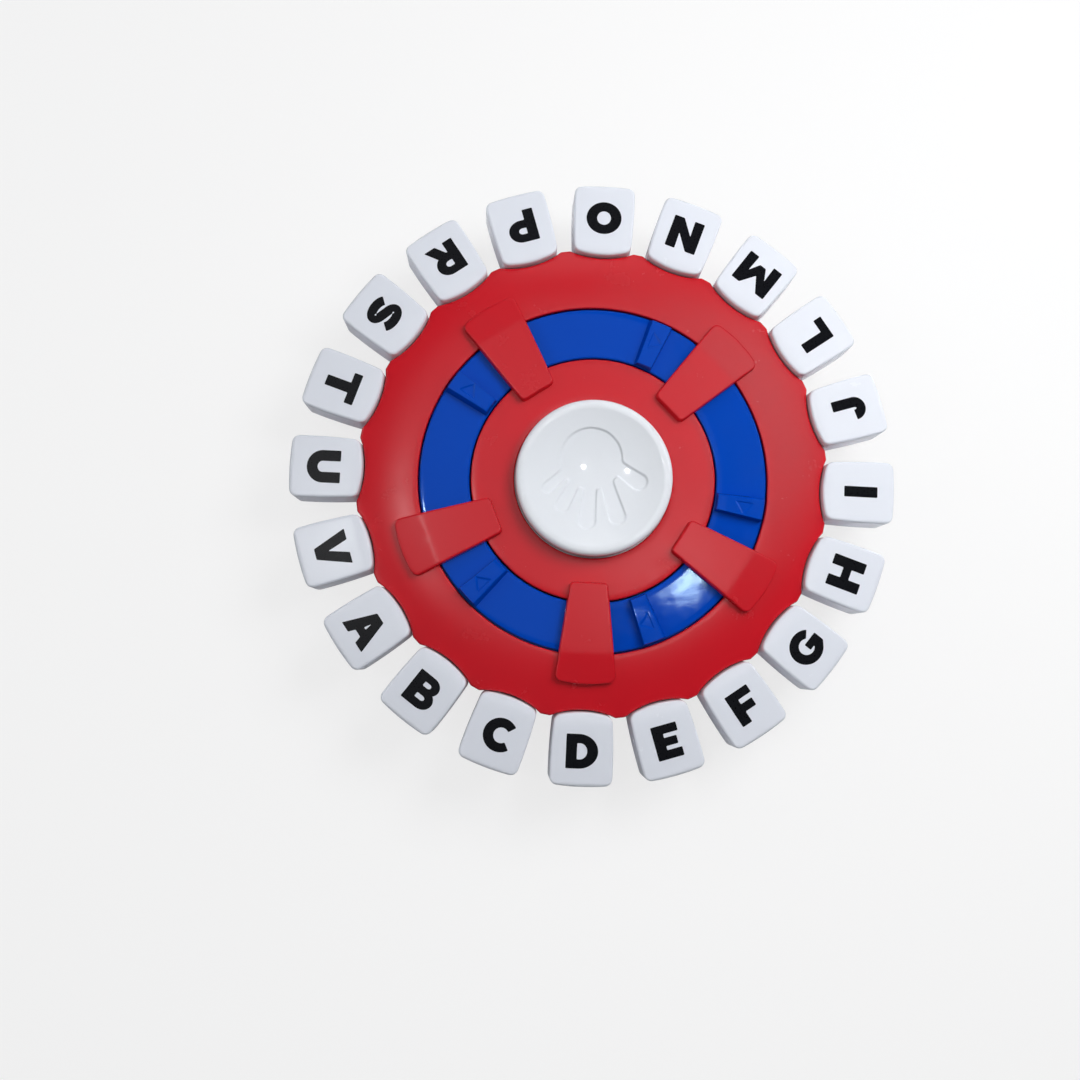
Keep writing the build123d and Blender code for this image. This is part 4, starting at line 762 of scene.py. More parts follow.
def plain_edge_r(angle):
    """Radius of the scalloped edge, by degrees from a key's middle, before its corners are eased."""
    angle = abs(angle)
    arc_r = (NOTCH_HALF_WIDTH**2 + NOTCH_BOW**2) / (2 * NOTCH_BOW)
    deep = KEY_IN_R - NOTCH_GAP
    side = (deep + arc_r - math.sqrt(arc_r**2 - NOTCH_HALF_WIDTH**2), NOTCH_HALF_WIDTH)
    tip_turn = math.radians(KEY_PITCH / 2) - LOBE_TIP_WIDTH / (2 * LOBE_R)
    tip = (LOBE_R * math.cos(tip_turn), LOBE_R * math.sin(tip_turn))
    turn = math.radians(angle)
    if turn >= tip_turn:
        return LOBE_R
    if turn > math.atan2(side[1], side[0]):
        along = (tip[0] - side[0], tip[1] - side[1])
        across = side[0] * along[1] - side[1] * along[0]
        return across / (math.cos(turn) * along[1] - math.sin(turn) * along[0])
    centre = deep + arc_r
    return centre * math.cos(turn) - math.sqrt(arc_r**2 - (centre * math.sin(turn)) ** 2)


def edge_r(angle):
    """The same with its corners eased."""
    spread_angles = np.linspace(-LOBE_SOFTNESS, LOBE_SOFTNESS, 13)
    return float(np.mean([plain_edge_r(angle + s) for s in spread_angles]))


def rim_section(outer):
    """The rim's wall at one bearing, from its inner lip over the dome, down the edge and back underneath."""
    lip = [(RIM_IN_R + LIP_EDGE * (1 - c), DISC_TOP_Z - LIP_EDGE * (1 - s)) for s, c in quarter(4)]
    crown = [(r, dome_z(r)) for r in np.linspace(RIM_IN_R + LIP_EDGE, outer - RIM_EDGE, 14)[1:-1]]
    edge = []
    for sine, cosine in quarter(7):
        r = outer - RIM_EDGE * (1 - sine)
        edge.append((r, dome_z(r) - RIM_EDGE * (1 - cosine)))
    bevel = RIM_FOOT_EDGE * 0.3
    foot = [(outer, RIM_LOW_Z + RIM_FOOT_EDGE), (outer - bevel, RIM_LOW_Z + bevel)]
    foot += [(outer - RIM_FOOT_EDGE, RIM_LOW_Z)]
    inside = SKIRT_R - WALL
    under = [(r, dome_z(r) - WALL) for r in np.linspace(inside, RIM_IN_R, 6)]
    return lip + crown + edge + foot + [(inside, RIM_LOW_Z)] + under


def rim():
    """The whole rim, with finer steps at the lobes than along the notches."""
    angles = list(np.linspace(-NOTCH_SPAN, NOTCH_SPAN, 11)[:-1])
    angles += list(np.linspace(NOTCH_SPAN, KEY_PITCH - NOTCH_SPAN, 43)[:-1])
    profiles = [rim_section(edge_r(a if a <= KEY_PITCH / 2 else a - KEY_PITCH)) for a in angles]
    rings = []
    for key in range(KEY_COUNT):
        for angle, profile in zip(angles, profiles):
            turn = math.radians(FIRST_KEY_BEARING + KEY_PITCH * key + angle)
            rings.append(swung(profile, turn))
    return Form().loft(rings, closed=True).mesh("rim")


def inner_disc():
    """The flat disc round the button, with the skirt that hangs inside the ring."""
    low_z, skirt_z = DISC_TOP_Z - WALL, DISC_TOP_Z - DISC_SKIRT
    inner = [(HOLE_R + LIP_EDGE * (1 - c), DISC_TOP_Z - LIP_EDGE * (1 - s)) for s, c in quarter(4)]
    flat = [(r, DISC_TOP_Z) for r in np.linspace(HOLE_R + LIP_EDGE, DISC_R - LIP_EDGE, 8)[1:-1]]
    outer = [(DISC_R - LIP_EDGE * (1 - s), DISC_TOP_Z - LIP_EDGE * (1 - c)) for s, c in quarter(4)]
    below = [(DISC_R, skirt_z), (DISC_R - WALL, skirt_z), (DISC_R - WALL, low_z), (HOLE_R, low_z)]
    return turned(inner + flat + outer + below).mesh("disc")


def arm_outline():
    """An arm in plan, along the X axis."""
    half_in, half_out = ARM_IN_WIDTH / 2, ARM_OUT_WIDTH / 2
    shoulder = ARM_OUT_R - ARM_END_BOW
    sides = [
        bow((ARM_IN_R, half_in), (ARM_IN_R, -half_in), 0.0),
        bow((ARM_IN_R, -half_in), (shoulder, -half_out), 0.0),
        bow((shoulder, -half_out), (shoulder, half_out), ARM_END_BOW),
        bow((shoulder, half_out), (ARM_IN_R, half_in), 0.0),
    ]
    corners = (ARM_IN_CORNER, ARM_OUT_CORNER, ARM_OUT_CORNER, ARM_IN_CORNER)
    return rounded(sides, corners, corner_steps=8, side_steps=24)


def arm_top(points):
    """Flat, then bent down along a short crease, and straight from there to the outer end."""
    past = np.clip(points[:, 0] - ARM_BEND_R, 0.0, None)
    slope = ARM_FALL / (ARM_OUT_R - ARM_BEND_R - ARM_CREASE / 2)
    eased = np.where(past < ARM_CREASE, past**2 / (2 * ARM_CREASE), past - ARM_CREASE / 2)
    return ARM_TOP_Z - slope * eased


def arm_foot(points):
    """Sunk into the disc and the rim, and clear of the ring between them."""
    reach = np.hypot(points[:, 0], points[:, 1])
    bridge = (reach > DISC_R - BRIDGE_OVERLAP) & (reach < RIM_IN_R + BRIDGE_OVERLAP)
    sunk = np.where(reach < RING_IN_R, DISC_TOP_Z, dome_z(np.clip(reach, RIM_IN_R, LOBE_R)))
    return np.where(bridge, DISC_TOP_Z + BRIDGE_LIFT, sunk - WALL / 4)


def arm():
    half_in, half_out = ARM_IN_WIDTH / 2, ARM_OUT_WIDTH / 2
    ends = (ARM_IN_R + half_in, ARM_OUT_R - half_out)
    return capped(arm_outline(), ends, arm_foot, arm_top, ARM_EDGE, ARM_DRAFT).mesh("arm")


def hinge_pillar():
    """What carries two neighbouring keys' pins, hung under the rim between them."""
    slot = math.degrees((NECK_WIDTH / 2 + NECK_PLAY) / PIVOT_R)
    pin = math.degrees((NECK_WIDTH / 2 + TRUNNION_PROUD + PIN_PLAY) / PIVOT_R)
    reach = (PIVOT_R - PILLAR_HALF, PIVOT_R + PILLAR_HALF)
    top = float(dome_z(PIVOT_R)) - WALL / 2
    upper = sector(*reach, slot, KEY_PITCH - slot, PIVOT_Z + PILLAR_STEP, top, PILLAR_EDGE)
    foot = sector(*reach, pin, KEY_PITCH - pin, PIVOT_Z - PILLAR_FOOT, RIM_LOW_Z, PILLAR_EDGE)
    return joined("hinge_pillar", [upper.mesh("upper"), foot.mesh("foot")])


def skirt_panel():
    """The skirt between two keys' necks."""
    half = math.degrees((NECK_WIDTH / 2 + NECK_PLAY) / SKIRT_R)
    heights = (PARTING_Z, RIM_LOW_Z + PANEL_OVERLAP)
    bearings = (half, KEY_PITCH - half)
    return sector(SKIRT_R - WALL, SKIRT_R, *bearings, *heights, PANEL_EDGE, PANEL_STEPS).mesh("panel")


def red_cover():
    """The rim, disc and arms, with the skirt, pillars, bosses and rib under them."""
    paint = PAINTS["red_housing"]
    under_z = DISC_TOP_Z - WALL / 2
    parts = [rim(), inner_disc()]
    one = arm()
    parts += [turned_copy(one, bearing) for bearing in ARM_BEARINGS]
    parts += [spread(skirt_panel(), KEY_COUNT, FIRST_KEY_BEARING, paint)]
    parts += [spread(hinge_pillar(), KEY_COUNT, FIRST_KEY_BEARING, paint)]
    boss = rod(HUB_BOSS_PLACE_R, 0.0, PLATE_TOP_Z, under_z, HUB_BOSS_R, HUB_BOSS_EDGE).mesh("boss")
    parts += [spread(boss, HUB_BOSS_COUNT, HUB_BOSS_BEARING, paint)]
    rib = soft_box(RIB_OUT_R - RIB_WALL, RIB_OUT_R, RING_SKIRT_Z + RIB_LIFT, under_z, RIB_EDGE)
    parts += [turned(rib).mesh("rib")]
    piece("red_cover", joined("red_cover", parts), "housing", paint, ["top_housing"])


# Blue ring


def ring_body():
    """The flat ring with its walls and the flange under the cover."""
    top = [(RING_OUT_R - RING_EDGE * (1 - s), RING_TOP_Z - RING_EDGE * (1 - c)) for s, c in quarter(5)]
    flat = [(r, RING_TOP_Z) for r in np.linspace(RING_OUT_R - RING_EDGE, RING_IN_R + RING_EDGE, 10)[1:-1]]
    inner = [(RING_IN_R + RING_EDGE * (1 - c), RING_TOP_Z - RING_EDGE * (1 - s)) for s, c in quarter(5)[::-1]]
    flange_z = RING_SKIRT_Z + RING_WALL
    inside = [
        (RING_IN_R, RING_SKIRT_Z),
        (RING_IN_R + RING_WALL, RING_SKIRT_Z),
        (RING_IN_R + RING_WALL, RING_LOW_Z),
        (RING_OUT_R - RING_WALL, RING_LOW_Z),
        (RING_OUT_R - RING_WALL, RING_SKIRT_Z),
        (FLANGE_R - FLANGE_EDGE, RING_SKIRT_Z),
        (FLANGE_R, RING_SKIRT_Z + FLANGE_EDGE),
        (FLANGE_R, flange_z - FLANGE_EDGE),
        (FLANGE_R - FLANGE_EDGE, flange_z),
        (RING_OUT_R, flange_z),
    ]
    return turned(inside + top[::-1] + flat + inner).mesh("ring")


def cam():
    """A ramp under the flange that lifts a pressed key."""
    half, top, tip = CAM_LENGTH / 2, RING_SKIRT_Z + CAM_ROOT, PIVOT_Z + CAM_TIP
    side = [(-half, top), (half, top), (half, tip + CAM_EDGE), (half - CAM_EDGE, tip), (CAM_RAMP - half, tip)]
    outer = FLANGE_R - FLANGE_EDGE
    rings = [[(r, y, z) for y, z in side] for r in (outer - CAM_DEPTH, outer - CAM_DEPTH / 2, outer)]
    return Form().loft(rings, start_cap=True, end_cap=True).mesh("cam")


def tab_height(reach, across):
    """Rise of a finger tab over the ring, by distance out along it and anticlockwise across it: a steep face
    on the clockwise side, a softer slope on the other, and an arrowhead pressed into the top."""
    half = TAB_WIDTH / 2
    limits = np.array([
        TAB_RISE - TAB_LEAN * (across + half) - TAB_DIP * math.exp(-reach / TAB_DIP_REACH),
        TAB_STEEP * (across + half),
        TAB_SOFT * (half + TAB_SOFT_REACH - across),
        TAB_END_SLOPE * reach,
        TAB_END_SLOPE * (TAB_LENGTH - reach),
    ])
    eased = -np.log(np.exp(-TAB_SHARP * limits).sum()) / TAB_SHARP
    along = (across - ARROW_TIP) / (ARROW_BACK - ARROW_TIP)
    flank = ARROW_HALF * along - abs(reach - TAB_LENGTH * ARROW_PLACE)
    inside = min(across - ARROW_TIP, ARROW_BACK - across, flank)
    return max(eased, -TAB_SUNK) - ARROW_DEPTH * min(max(inside / ARROW_DEPTH, 0.0), 1.0)


def tab():
    """A finger tab as a fine grid, closed down into the ring."""
    ends = np.array([0.0, 0.06, 0.14, 0.24, 0.36, 0.5, 0.7, 0.95])
    reaches = np.concatenate([ends, np.linspace(1.2, TAB_LENGTH - 1.2, 62), TAB_LENGTH - ends[::-1]])
    half = TAB_WIDTH / 2
    steep = -half * 1.1 + np.array([0.0, 0.1, 0.2, 0.3, 0.4, 0.5, 0.6, 0.72, 0.86])
    acrosses = np.concatenate([steep, np.linspace(steep[-1] + 0.16, half + TAB_SOFT_REACH + 0.9, 46)])
    rings = []
    for across in acrosses:
        ring = []
        for reach in reaches:
            radius = RING_IN_R + TAB_END_GAP + reach
            turn = across / (RING_IN_R + TAB_LENGTH / 2)
            height = RING_TOP_Z + tab_height(reach, across)
            ring.append((radius * math.cos(turn), radius * math.sin(turn), height))
        floor = [(x, y, RING_TOP_Z - TAB_ROOT) for x, y, _ in (ring[-1], ring[0])]
        rings.append(ring + floor)
    return Form().loft(rings, start_cap=True, end_cap=True).mesh("tab")


def blue_ring():
    """The ring with a tab beside each arm, and a cam for each key under its flange."""
    paint = PAINTS["blue_ring"]
    one = tab()
    parts = [ring_body()] + [turned_copy(one, bearing + TAB_FROM_ARM) for bearing in ARM_BEARINGS]
    parts += [spread(cam(), CAM_COUNT, FIRST_KEY_BEARING + CAM_LEAD, paint)]
    piece("blue_ring", joined("blue_ring", parts), "reset_ring", paint, ["reset_ring"])


# Letter keys


def key_outline():
    """A key in plan, a little wider at its outer end."""
    half_in, half_out = KEY_IN_WIDTH / 2, KEY_OUT_WIDTH / 2
    near, far = KEY_IN_R + KEY_IN_BOW, KEY_OUT_R - KEY_OUT_BOW
    sides = [
        bow((near, half_in), (near, -half_in), KEY_IN_BOW),
        bow((near, -half_in), (far, -half_out), KEY_SIDE_BOW),
        bow((far, -half_out), (far, half_out), KEY_OUT_BOW),
        bow((far, half_out), (near, half_in), KEY_SIDE_BOW),
    ]
    return rounded(sides, [KEY_CORNER] * len(sides))


def key_top(points):
    """Height of a key's top by its distance from the wheel's axis: curved down a little towards the wheel,
    then a slight fall outwards and a small nose."""
    x = points[:, 0]
    roll_r = (KEY_ROLL**2 + KEY_ROLL_DROP**2) / (2 * KEY_ROLL_DROP)
    into_roll = np.clip(KEY_IN_R + KEY_ROLL - x, 0.0, KEY_ROLL)
    into_nose = np.clip(x - KEY_OUT_R + KEY_NOSE, 0.0, KEY_NOSE)
    sloped = np.interp(x, (KEY_IN_R + KEY_ROLL, KEY_OUT_R - KEY_NOSE), (KEY_TOP_Z, KEY_TOP_Z - KEY_FALL))
    rolled = roll_r - np.sqrt(roll_r**2 - into_roll**2)
    return sloped - rolled - KEY_NOSE + np.sqrt(KEY_NOSE**2 - into_nose**2)


def key_cap():
    """The hollow cap that a finger presses."""
    outline = key_outline()
    half_in, half_out = KEY_IN_WIDTH / 2, KEY_OUT_WIDTH / 2
    ends = (KEY_IN_R + half_in, KEY_OUT_R - half_out)
    roof = KEY_TOP_Z - KEY_WALL - KEY_FALL
    lean = (KEY_TOP_Z - KEY_FOOT_Z) * math.tan(math.radians(KEY_DRAFT))
    inner = drawn_in(outline, KEY_WALL + lean)
    hollow = drape(inner, ends, lambda p: np.full(len(p), roof), (1.0, 0.7, 0.35, 0.06))
    hollow += [lifted(inner, roof - 0.6), lifted(inner, KEY_FOOT_Z + 0.2)]
    hollow += [lifted(drawn_in(outline, KEY_WALL), KEY_FOOT_Z)]
    return capped(outline, ends, lambda p: np.full(len(p), KEY_FOOT_Z), key_top, KEY_EDGE, KEY_DRAFT, hollow)


def bar(x, y, z, edge):
    """A rounded bar between two ends along each axis."""
    rings = []
    places = [(x[0] + edge * (1 - c), 1 - s) for s, c in quarter(3)]
    places += [(x[1] - edge * (1 - c), 1 - s) for s, c in quarter(3)[::-1]]
    for place, short in places:
        drawn = edge * short
        section = soft_box(y[0] + drawn, y[1] - drawn, z[0] + drawn, z[1] - drawn, edge)
        rings.append([(place, across, up) for across, up in section])
    return Form().loft(rings, start_cap=True, end_cap=True)


def key_pin():
    """The pin that a key turns on, through its neck."""
    half = NECK_WIDTH / 2 + TRUNNION_PROUD
    profile = [(TRUNNION_R - PIN_EDGE * (1 - s), -half + PIN_EDGE * (1 - c)) for s, c in quarter(3)]
    profile += [(TRUNNION_R - PIN_EDGE * (1 - s), half - PIN_EDGE * (1 - c)) for s, c in quarter(3)[::-1]]
    turns = full_turn(PIN_STEPS)
    rings = []
    for radius, y in profile:
        rings.append([(PIVOT_R + radius * math.cos(t), y, PIVOT_Z + radius * math.sin(t)) for t in turns])
    return Form().loft(rings, start_cap=True, end_cap=True)


def key_mesh():
    """A key's cap with its neck, its pin and the tail that a cam presses."""
    half, tail_half = NECK_WIDTH / 2, TAIL_WIDTH / 2
    neck_z = (KEY_FOOT_Z + FOOT_STEP, PIVOT_Z + NECK_TOP)
    tail_z = (KEY_FOOT_Z + 2 * FOOT_STEP, PIVOT_Z + TAIL_TOP)
    neck = bar((PIVOT_R, KEY_IN_R + KEY_WALL), (-half, half), neck_z, BAR_EDGE)
    tail = bar((PIVOT_R - TAIL_LENGTH, PIVOT_R), (-tail_half, tail_half), tail_z, BAR_EDGE)
    parts = [key_cap().mesh("cap"), neck.mesh("neck"), tail.mesh("tail"), key_pin().mesh("pin")]
    return joined("key", parts)


# Printed letters: plain upright capitals of nearly even weight, in millimetres from their lower left corner


def arc(x, y, width, height, first, last, steps=14):
    """Part of an oval, by its middle and its two radii."""
    turns = [math.radians(first + (last - first) * i / steps) for i in range(steps + 1)]
    return [(x + width * math.cos(t), y + height * math.sin(t)) for t in turns]


def ribbon(line, width):
    """A stroke of even width along a line, cut square at both ends. A bend tighter than half the width
    crosses itself on its inside."""
    line = np.array(line)
    side = left_of(line) * width / 2
    return [tuple(p) for p in line - side] + [tuple(p) for p in (line + side)[::-1]]


CAP = 12.4  # height of a letter as drawn
STEM = 3.6  # width of most upright strokes
LETTERS = {
    "a": [
        [(0, 0), (3.7, 0), (4.6, 2.8), (8.2, 2.8), (9.1, 0), (12.8, 0), (8.4, CAP), (4.4, CAP)],
        [(5.5, 5.4), (7.3, 5.4), (6.4, 8.8)],
    ],
    "b": [
        [(0, 0)] + arc(6.6, 3.7, 4.4, 3.7, -90, 58) + arc(6.2, 9.1, 3.9, 3.3, -40, 90) + [(0, CAP)],
        [(STEM, 2.6)] + arc(6.4, 3.8, 1.6, 1.2, -90, 90) + [(STEM, 5.0)],
        [(STEM, 7.6)] + arc(6.0, 8.8, 1.3, 1.2, -90, 90) + [(STEM, 10.0)],
    ],
    "c": [arc(6.3, 6.2, 6.3, 6.2, 46, 314, 30) + arc(6.6, 6.2, 3.2, 3.2, 312, 48, 24)],
    "d": [
        [(0, 0)] + arc(4.6, 6.2, 7.0, 6.2, -90, 90, 22) + [(0, CAP)],
        [(STEM, 2.9)] + arc(4.9, 6.2, 3.1, 3.3, -90, 90, 18) + [(STEM, 9.5)],
    ],
    "e": [
        [(0, 0), (9.4, 0), (9.4, 2.8), (STEM, 2.8), (STEM, 4.9), (8.4, 4.9), (8.4, 7.5), (STEM, 7.5),
         (STEM, 9.6), (9.4, 9.6), (9.4, CAP), (0, CAP)],
    ],
    "f": [
        [(0, 0), (STEM, 0), (STEM, 4.4), (8.4, 4.4), (8.4, 7.1), (STEM, 7.1), (STEM, 9.6), (9.4, 9.6),
         (9.4, CAP), (0, CAP)],
    ],
    "g": [
        arc(6.5, 6.2, 6.5, 6.2, 42, 318, 30) + [(12.6, 3.2), (12.6, 7.0), (7.0, 7.0), (7.0, 4.6), (9.3, 4.6)]
        + arc(6.7, 6.2, 3.4, 3.3, 310, 48, 26),
    ],
    "h": [
        [(0, 0), (STEM, 0), (STEM, 4.9), (8.2, 4.9), (8.2, 0), (11.8, 0), (11.8, CAP), (8.2, CAP), (8.2, 7.7),
         (STEM, 7.7), (STEM, CAP), (0, CAP)],
    ],
    "i": [[(0, 0), (STEM, 0), (STEM, CAP), (0, CAP)]],
    "j": [
        [(5.0, CAP), (8.5, CAP)] + arc(4.25, 4.3, 4.25, 4.3, 0, -175, 24)
        + arc(4.25, 4.3, 0.75, 1.2, -175, 0, 10),
    ],
    "l": [[(0, 0), (8.8, 0), (8.8, 2.9), (STEM, 2.9), (STEM, CAP), (0, CAP)]],
    "m": [
        [(0, 0), (3.5, 0), (3.5, 6.8), (6.2, 2.4), (8.6, 2.4), (11.3, 6.8), (11.3, 0), (14.8, 0),
         (14.8, CAP), (11.5, CAP), (7.4, 6.2), (3.3, CAP), (0, CAP)],
    ],
    "n": [
        [(0, 0), (3.5, 0), (3.5, 6.6), (8.3, 0), (11.8, 0), (11.8, CAP), (8.3, CAP), (8.3, 5.8),
         (3.5, CAP), (0, CAP)],
    ],
    "o": [arc(6.6, 6.2, 6.6, 6.2, 0, 350, 34), arc(6.6, 6.2, 3.0, 3.0, 0, 345, 24)],
    "p": [
        [(0, 0), (STEM, 0), (STEM, 4.0)] + arc(5.8, 8.2, 4.9, 4.2, -90, 90, 20) + [(0, CAP)],
        [(STEM, 6.7)] + arc(5.6, 8.2, 1.7, 1.5, -90, 90) + [(STEM, 9.7)],
    ],
    "r": [
        [(0, 0), (STEM, 0), (STEM, 4.2), (4.6, 4.2), (7.4, 0), (11.5, 0), (8.3, 4.8)]
        + arc(5.9, 8.4, 4.7, 4.0, -58, 90, 16) + [(0, CAP)],
        [(STEM, 6.9)] + arc(5.6, 8.35, 1.7, 1.45, -90, 90) + [(STEM, 9.8)],
    ],
    "s": [ribbon(arc(5.4, 8.6, 4.2, 2.2, 32, 252, 24) + arc(5.2, 3.8, 4.2, 2.2, 72, -148, 24), 3.1)],
    "t": [[(4.1, 0), (7.7, 0), (7.7, 9.5), (11.8, 9.5), (11.8, CAP), (0, CAP), (0, 9.5), (4.1, 9.5)]],
    "u": [
        ribbon([(1.8, CAP), (1.8, 9.0)] + arc(6.0, 5.8, 4.2, 4.0, 180, 360, 26)
               + [(10.2, 9.0), (10.2, CAP)], STEM),
    ],
    "v": [[(4.5, 0), (8.3, 0), (12.8, CAP), (9.1, CAP), (6.4, 4.6), (3.7, CAP), (0, CAP)]],
}


def softened(loop):
    """A closed line with its corners taken off."""
    loop = np.array(loop)
    points = []
    for before, corner, after in zip(np.roll(loop, 1, axis=0), loop, np.roll(loop, -1, axis=0)):
        ends = []
        for end in (before, after):
            length = np.hypot(*(end - corner))
            ends.append(corner + (end - corner) * min(LETTER_CORNER / length, 0.4))
        points += [ends[0], (ends[0] + ends[1]) / 4 + corner / 2, ends[1]]
    return np.array(points)


def grown(loop, by):
    """A closed line moved outwards, whichever way round it runs, with its corners kept sharp."""
    loop = np.array(loop)
    x, y = loop.T
    turning = np.sign((x * np.roll(y, -1) - y * np.roll(x, -1)).sum())
    ahead = np.roll(loop, -1, axis=0) - loop
    ahead /= np.linalg.norm(ahead, axis=1)[:, None]
    outward = np.stack([ahead[:, 1], -ahead[:, 0]], axis=1) * turning
    both = outward + np.roll(outward, 1, axis=0)
    return loop + both * by * 2 / np.clip((both**2).sum(axis=1), 1.0, None)[:, None]


def letter_mesh(letter):
    """A printed letter as a thin skin on a key's sloped top, read from outside the wheel. Its first loop is
    its outline, and the others are holes."""
    outline, *holes = LETTERS[letter]
    loops = [grown(outline, LETTER_SPREAD)] + [grown(hole, -LETTER_SPREAD) for hole in holes]
    loops = [softened(loop) for loop in loops]
    every = np.concatenate(loops)
    middle = (every.min(axis=0) + every.max(axis=0)) / 2
    curve = bpy.data.curves.new(f"letter_{letter}", "CURVE")
    curve.dimensions = "2D"
    curve.fill_mode = "BOTH"
    curve.extrude = INK / 2 * MM
    for loop in loops:
        line = curve.splines.new("POLY")
        line.points.add(len(loop) - 1)
        for point, (x, y) in zip(line.points, (loop - middle) * MM):
            point.co = (x, y, 0.0, 1.0)
        line.use_cyclic_u = True
    data = baked(bpy.data.objects.new("flat_letter", curve))
    slope = math.atan2(KEY_FALL, KEY_OUT_R - KEY_NOSE - KEY_IN_R - KEY_ROLL)
    height = float(key_top(np.array([[LETTER_R, 0.0]]))[0]) + INK / 2 - INK_SUNK
    place = Matrix.Translation(Vector((LETTER_R, 0.0, height)) * MM)
    data.transform(place @ Matrix.Rotation(slope, 4, "Y") @ Matrix.Rotation(math.pi / 2, 4, "Z"))
    data.name = f"letter_{letter}"
    return tidy(data)


def letter_keys():
    """One key and its printed letter on each hinge. A key's body has its node's name."""
    blank = key_mesh()
    for index, node in enumerate(sorted(HINGES)):
        bearing = FIRST_KEY_BEARING + KEY_PITCH * index
        letter = node[-1]
        key = turned_copy(blank, bearing, f"key_{letter}")
        printed = turned_copy(letter_mesh(letter), bearing, f"print_{letter}")
        piece(f"key_{letter}", key, node, PAINTS["white_keys"], [node])
        piece(f"print_{letter}", printed, node, INK_PAINT)


# Button


def hand_distance(x, y):
    """Roughly how far a place lies outside the hand's outline, below zero inside it."""
    across, along = (x - PALM_AT[0]) / PALM_RADII[0], (y - PALM_AT[1]) / PALM_RADII[1]
    distances = [(np.hypot(across, along) - 1) * min(PALM_RADII)]
    for start, end, start_r, end_r in FINGERS:
        line = (end[0] - start[0], end[1] - start[1])
        share = ((x - start[0]) * line[0] + (y - start[1]) * line[1]) / (line[0] ** 2 + line[1] ** 2)
        share = np.clip(share, 0.0, 1.0)
        gap = np.hypot(x - start[0] - share * line[0], y - start[1] - share * line[1])
        distances.append(gap - start_r - share * (end_r - start_r))
    return -np.log(np.exp(-HAND_SHARP * np.array(distances)).sum(axis=0)) / HAND_SHARP


def bowl_z(reach):
    """The dish without the hand."""
    bowl_r = (DISH_IN_R**2 + BUTTON_DISH**2) / (2 * BUTTON_DISH)
    return BUTTON_TOP_Z - BUTTON_DISH + bowl_r - np.sqrt(bowl_r**2 - reach**2)


def dish_z(x, y):
    """The button's dished top with the hand pressed into it."""
    inside = np.clip(0.5 - hand_distance(x, y) / HAND_EDGE, 0.0, 1.0)
    return bowl_z(np.hypot(x, y)) - HAND_DEPTH * inside * inside * (3 - 2 * inside)


def button_shell():
    """The top as a fine polar grid, then rim, wall, flange and the hollow underside."""
    rim_in = BUTTON_R - BUTTON_RIM
    low_z = DISC_TOP_Z - WALL
    foot_z = low_z - BUTTON_WALL
    reaches = np.linspace(0.0, DISH_IN_R - 0.3, 100)
    edge = [(DISH_IN_R + 0.15, BUTTON_TOP_Z - 0.03), (DISH_IN_R + 0.5, BUTTON_TOP_Z)]
    edge += [(rim_in + BUTTON_RIM * s, BUTTON_TOP_Z - BUTTON_RIM * (1 - c)) for s, c in quarter(8)]
    edge += [(BUTTON_R, low_z), (BUTTON_R + BUTTON_FLANGE, low_z), (BUTTON_R + BUTTON_FLANGE, foot_z)]
    edge += [(BUTTON_R - BUTTON_WALL, foot_z)]
    edge += [(r, float(bowl_z(r)) - BUTTON_WALL) for r in np.linspace(BUTTON_R - BUTTON_WALL, 0.0, 10)]
    rings = []
    for turn in full_turn(ROUND_STEPS):
        x, y = reaches * math.cos(turn), reaches * math.sin(turn)
        rings.append(list(zip(x, y, dish_z(x, y))) + swung(edge, turn))
    return Form().loft(rings, loop=False, closed=True).mesh("button_shell")


def white_button():
    """The dished shell with its guide pins in bosses and the stem over the switch."""
    paint = PAINTS["white_button"]
    boss_top = float(bowl_z(GUIDE_R - GUIDE_BOSS_R)) - BUTTON_WALL / 2 + 0.1
    boss = joined("guide", [
        rod(GUIDE_R, 0.0, PLATE_TOP_Z + SPRING_LENGTH, boss_top, GUIDE_BOSS_R, GUIDE_BOSS_EDGE).mesh("boss"),
        rod(GUIDE_R, 0.0, PLATE_TOP_Z + GUIDE_PIN_GAP, boss_top, GUIDE_PIN_R, POST_EDGE).mesh("pin"),
    ])
    stem_top = BUTTON_TOP_Z - BUTTON_DISH - BUTTON_WALL + 0.5
    stem = rod(0.0, 0.0, PLATE_TOP_Z + STEM_LIFT, stem_top, STEM_R, POST_EDGE).mesh("stem")
    data = joined("white_button", [button_shell(), stem, spread(boss, GUIDE_COUNT, GUIDE_BEARING, paint)])
    piece("white_button", data, "centre_button", paint, ["centre_button"])


# Pieces whose solid is already right get a smooth skin and their finish


def carried_over(done):
    """One skin for each node that isn't done already."""
    slots = {part["node"]: part["material_slot"] for part in frame["record"]["subparts"]}
    bodies = frame["record"]["behaviour"]["bodies"]
    owner = {node: body for body, nodes in bodies.items() for node in nodes}
    for node, solid in frame["nodes"].items():
        if node in done:
            continue
        data = solid.data.copy()
        data.name = f"{node}_skin"
        work = bmesh.new()
        work.from_mesh(data)
        bmesh.ops.remove_doubles(work, verts=work.verts, dist=1e-6)
        work.to_mesh(data)
        work.free()
        smoothed(data, SKIN_SMOOTH_ANGLE)
        piece(f"{node}_skin", data, owner[node], PAINTS[slots[node]], [node])


# Floor, light and camera

CAMERA_AT = (-26.0, -60.8, 455.0)
CAMERA_TILT = (4.93, -1.13, 2.58)
IMAGE_WIDTH = 1080.0
FOCAL_PIXELS = 1100.0
SENSOR_WIDTH = 36.0
FLOOR_SIZE = 6.0
FLOOR_DROP = 0.0002
FLOOR_GLOW = 0.75  # how far the floor is plain white to the camera


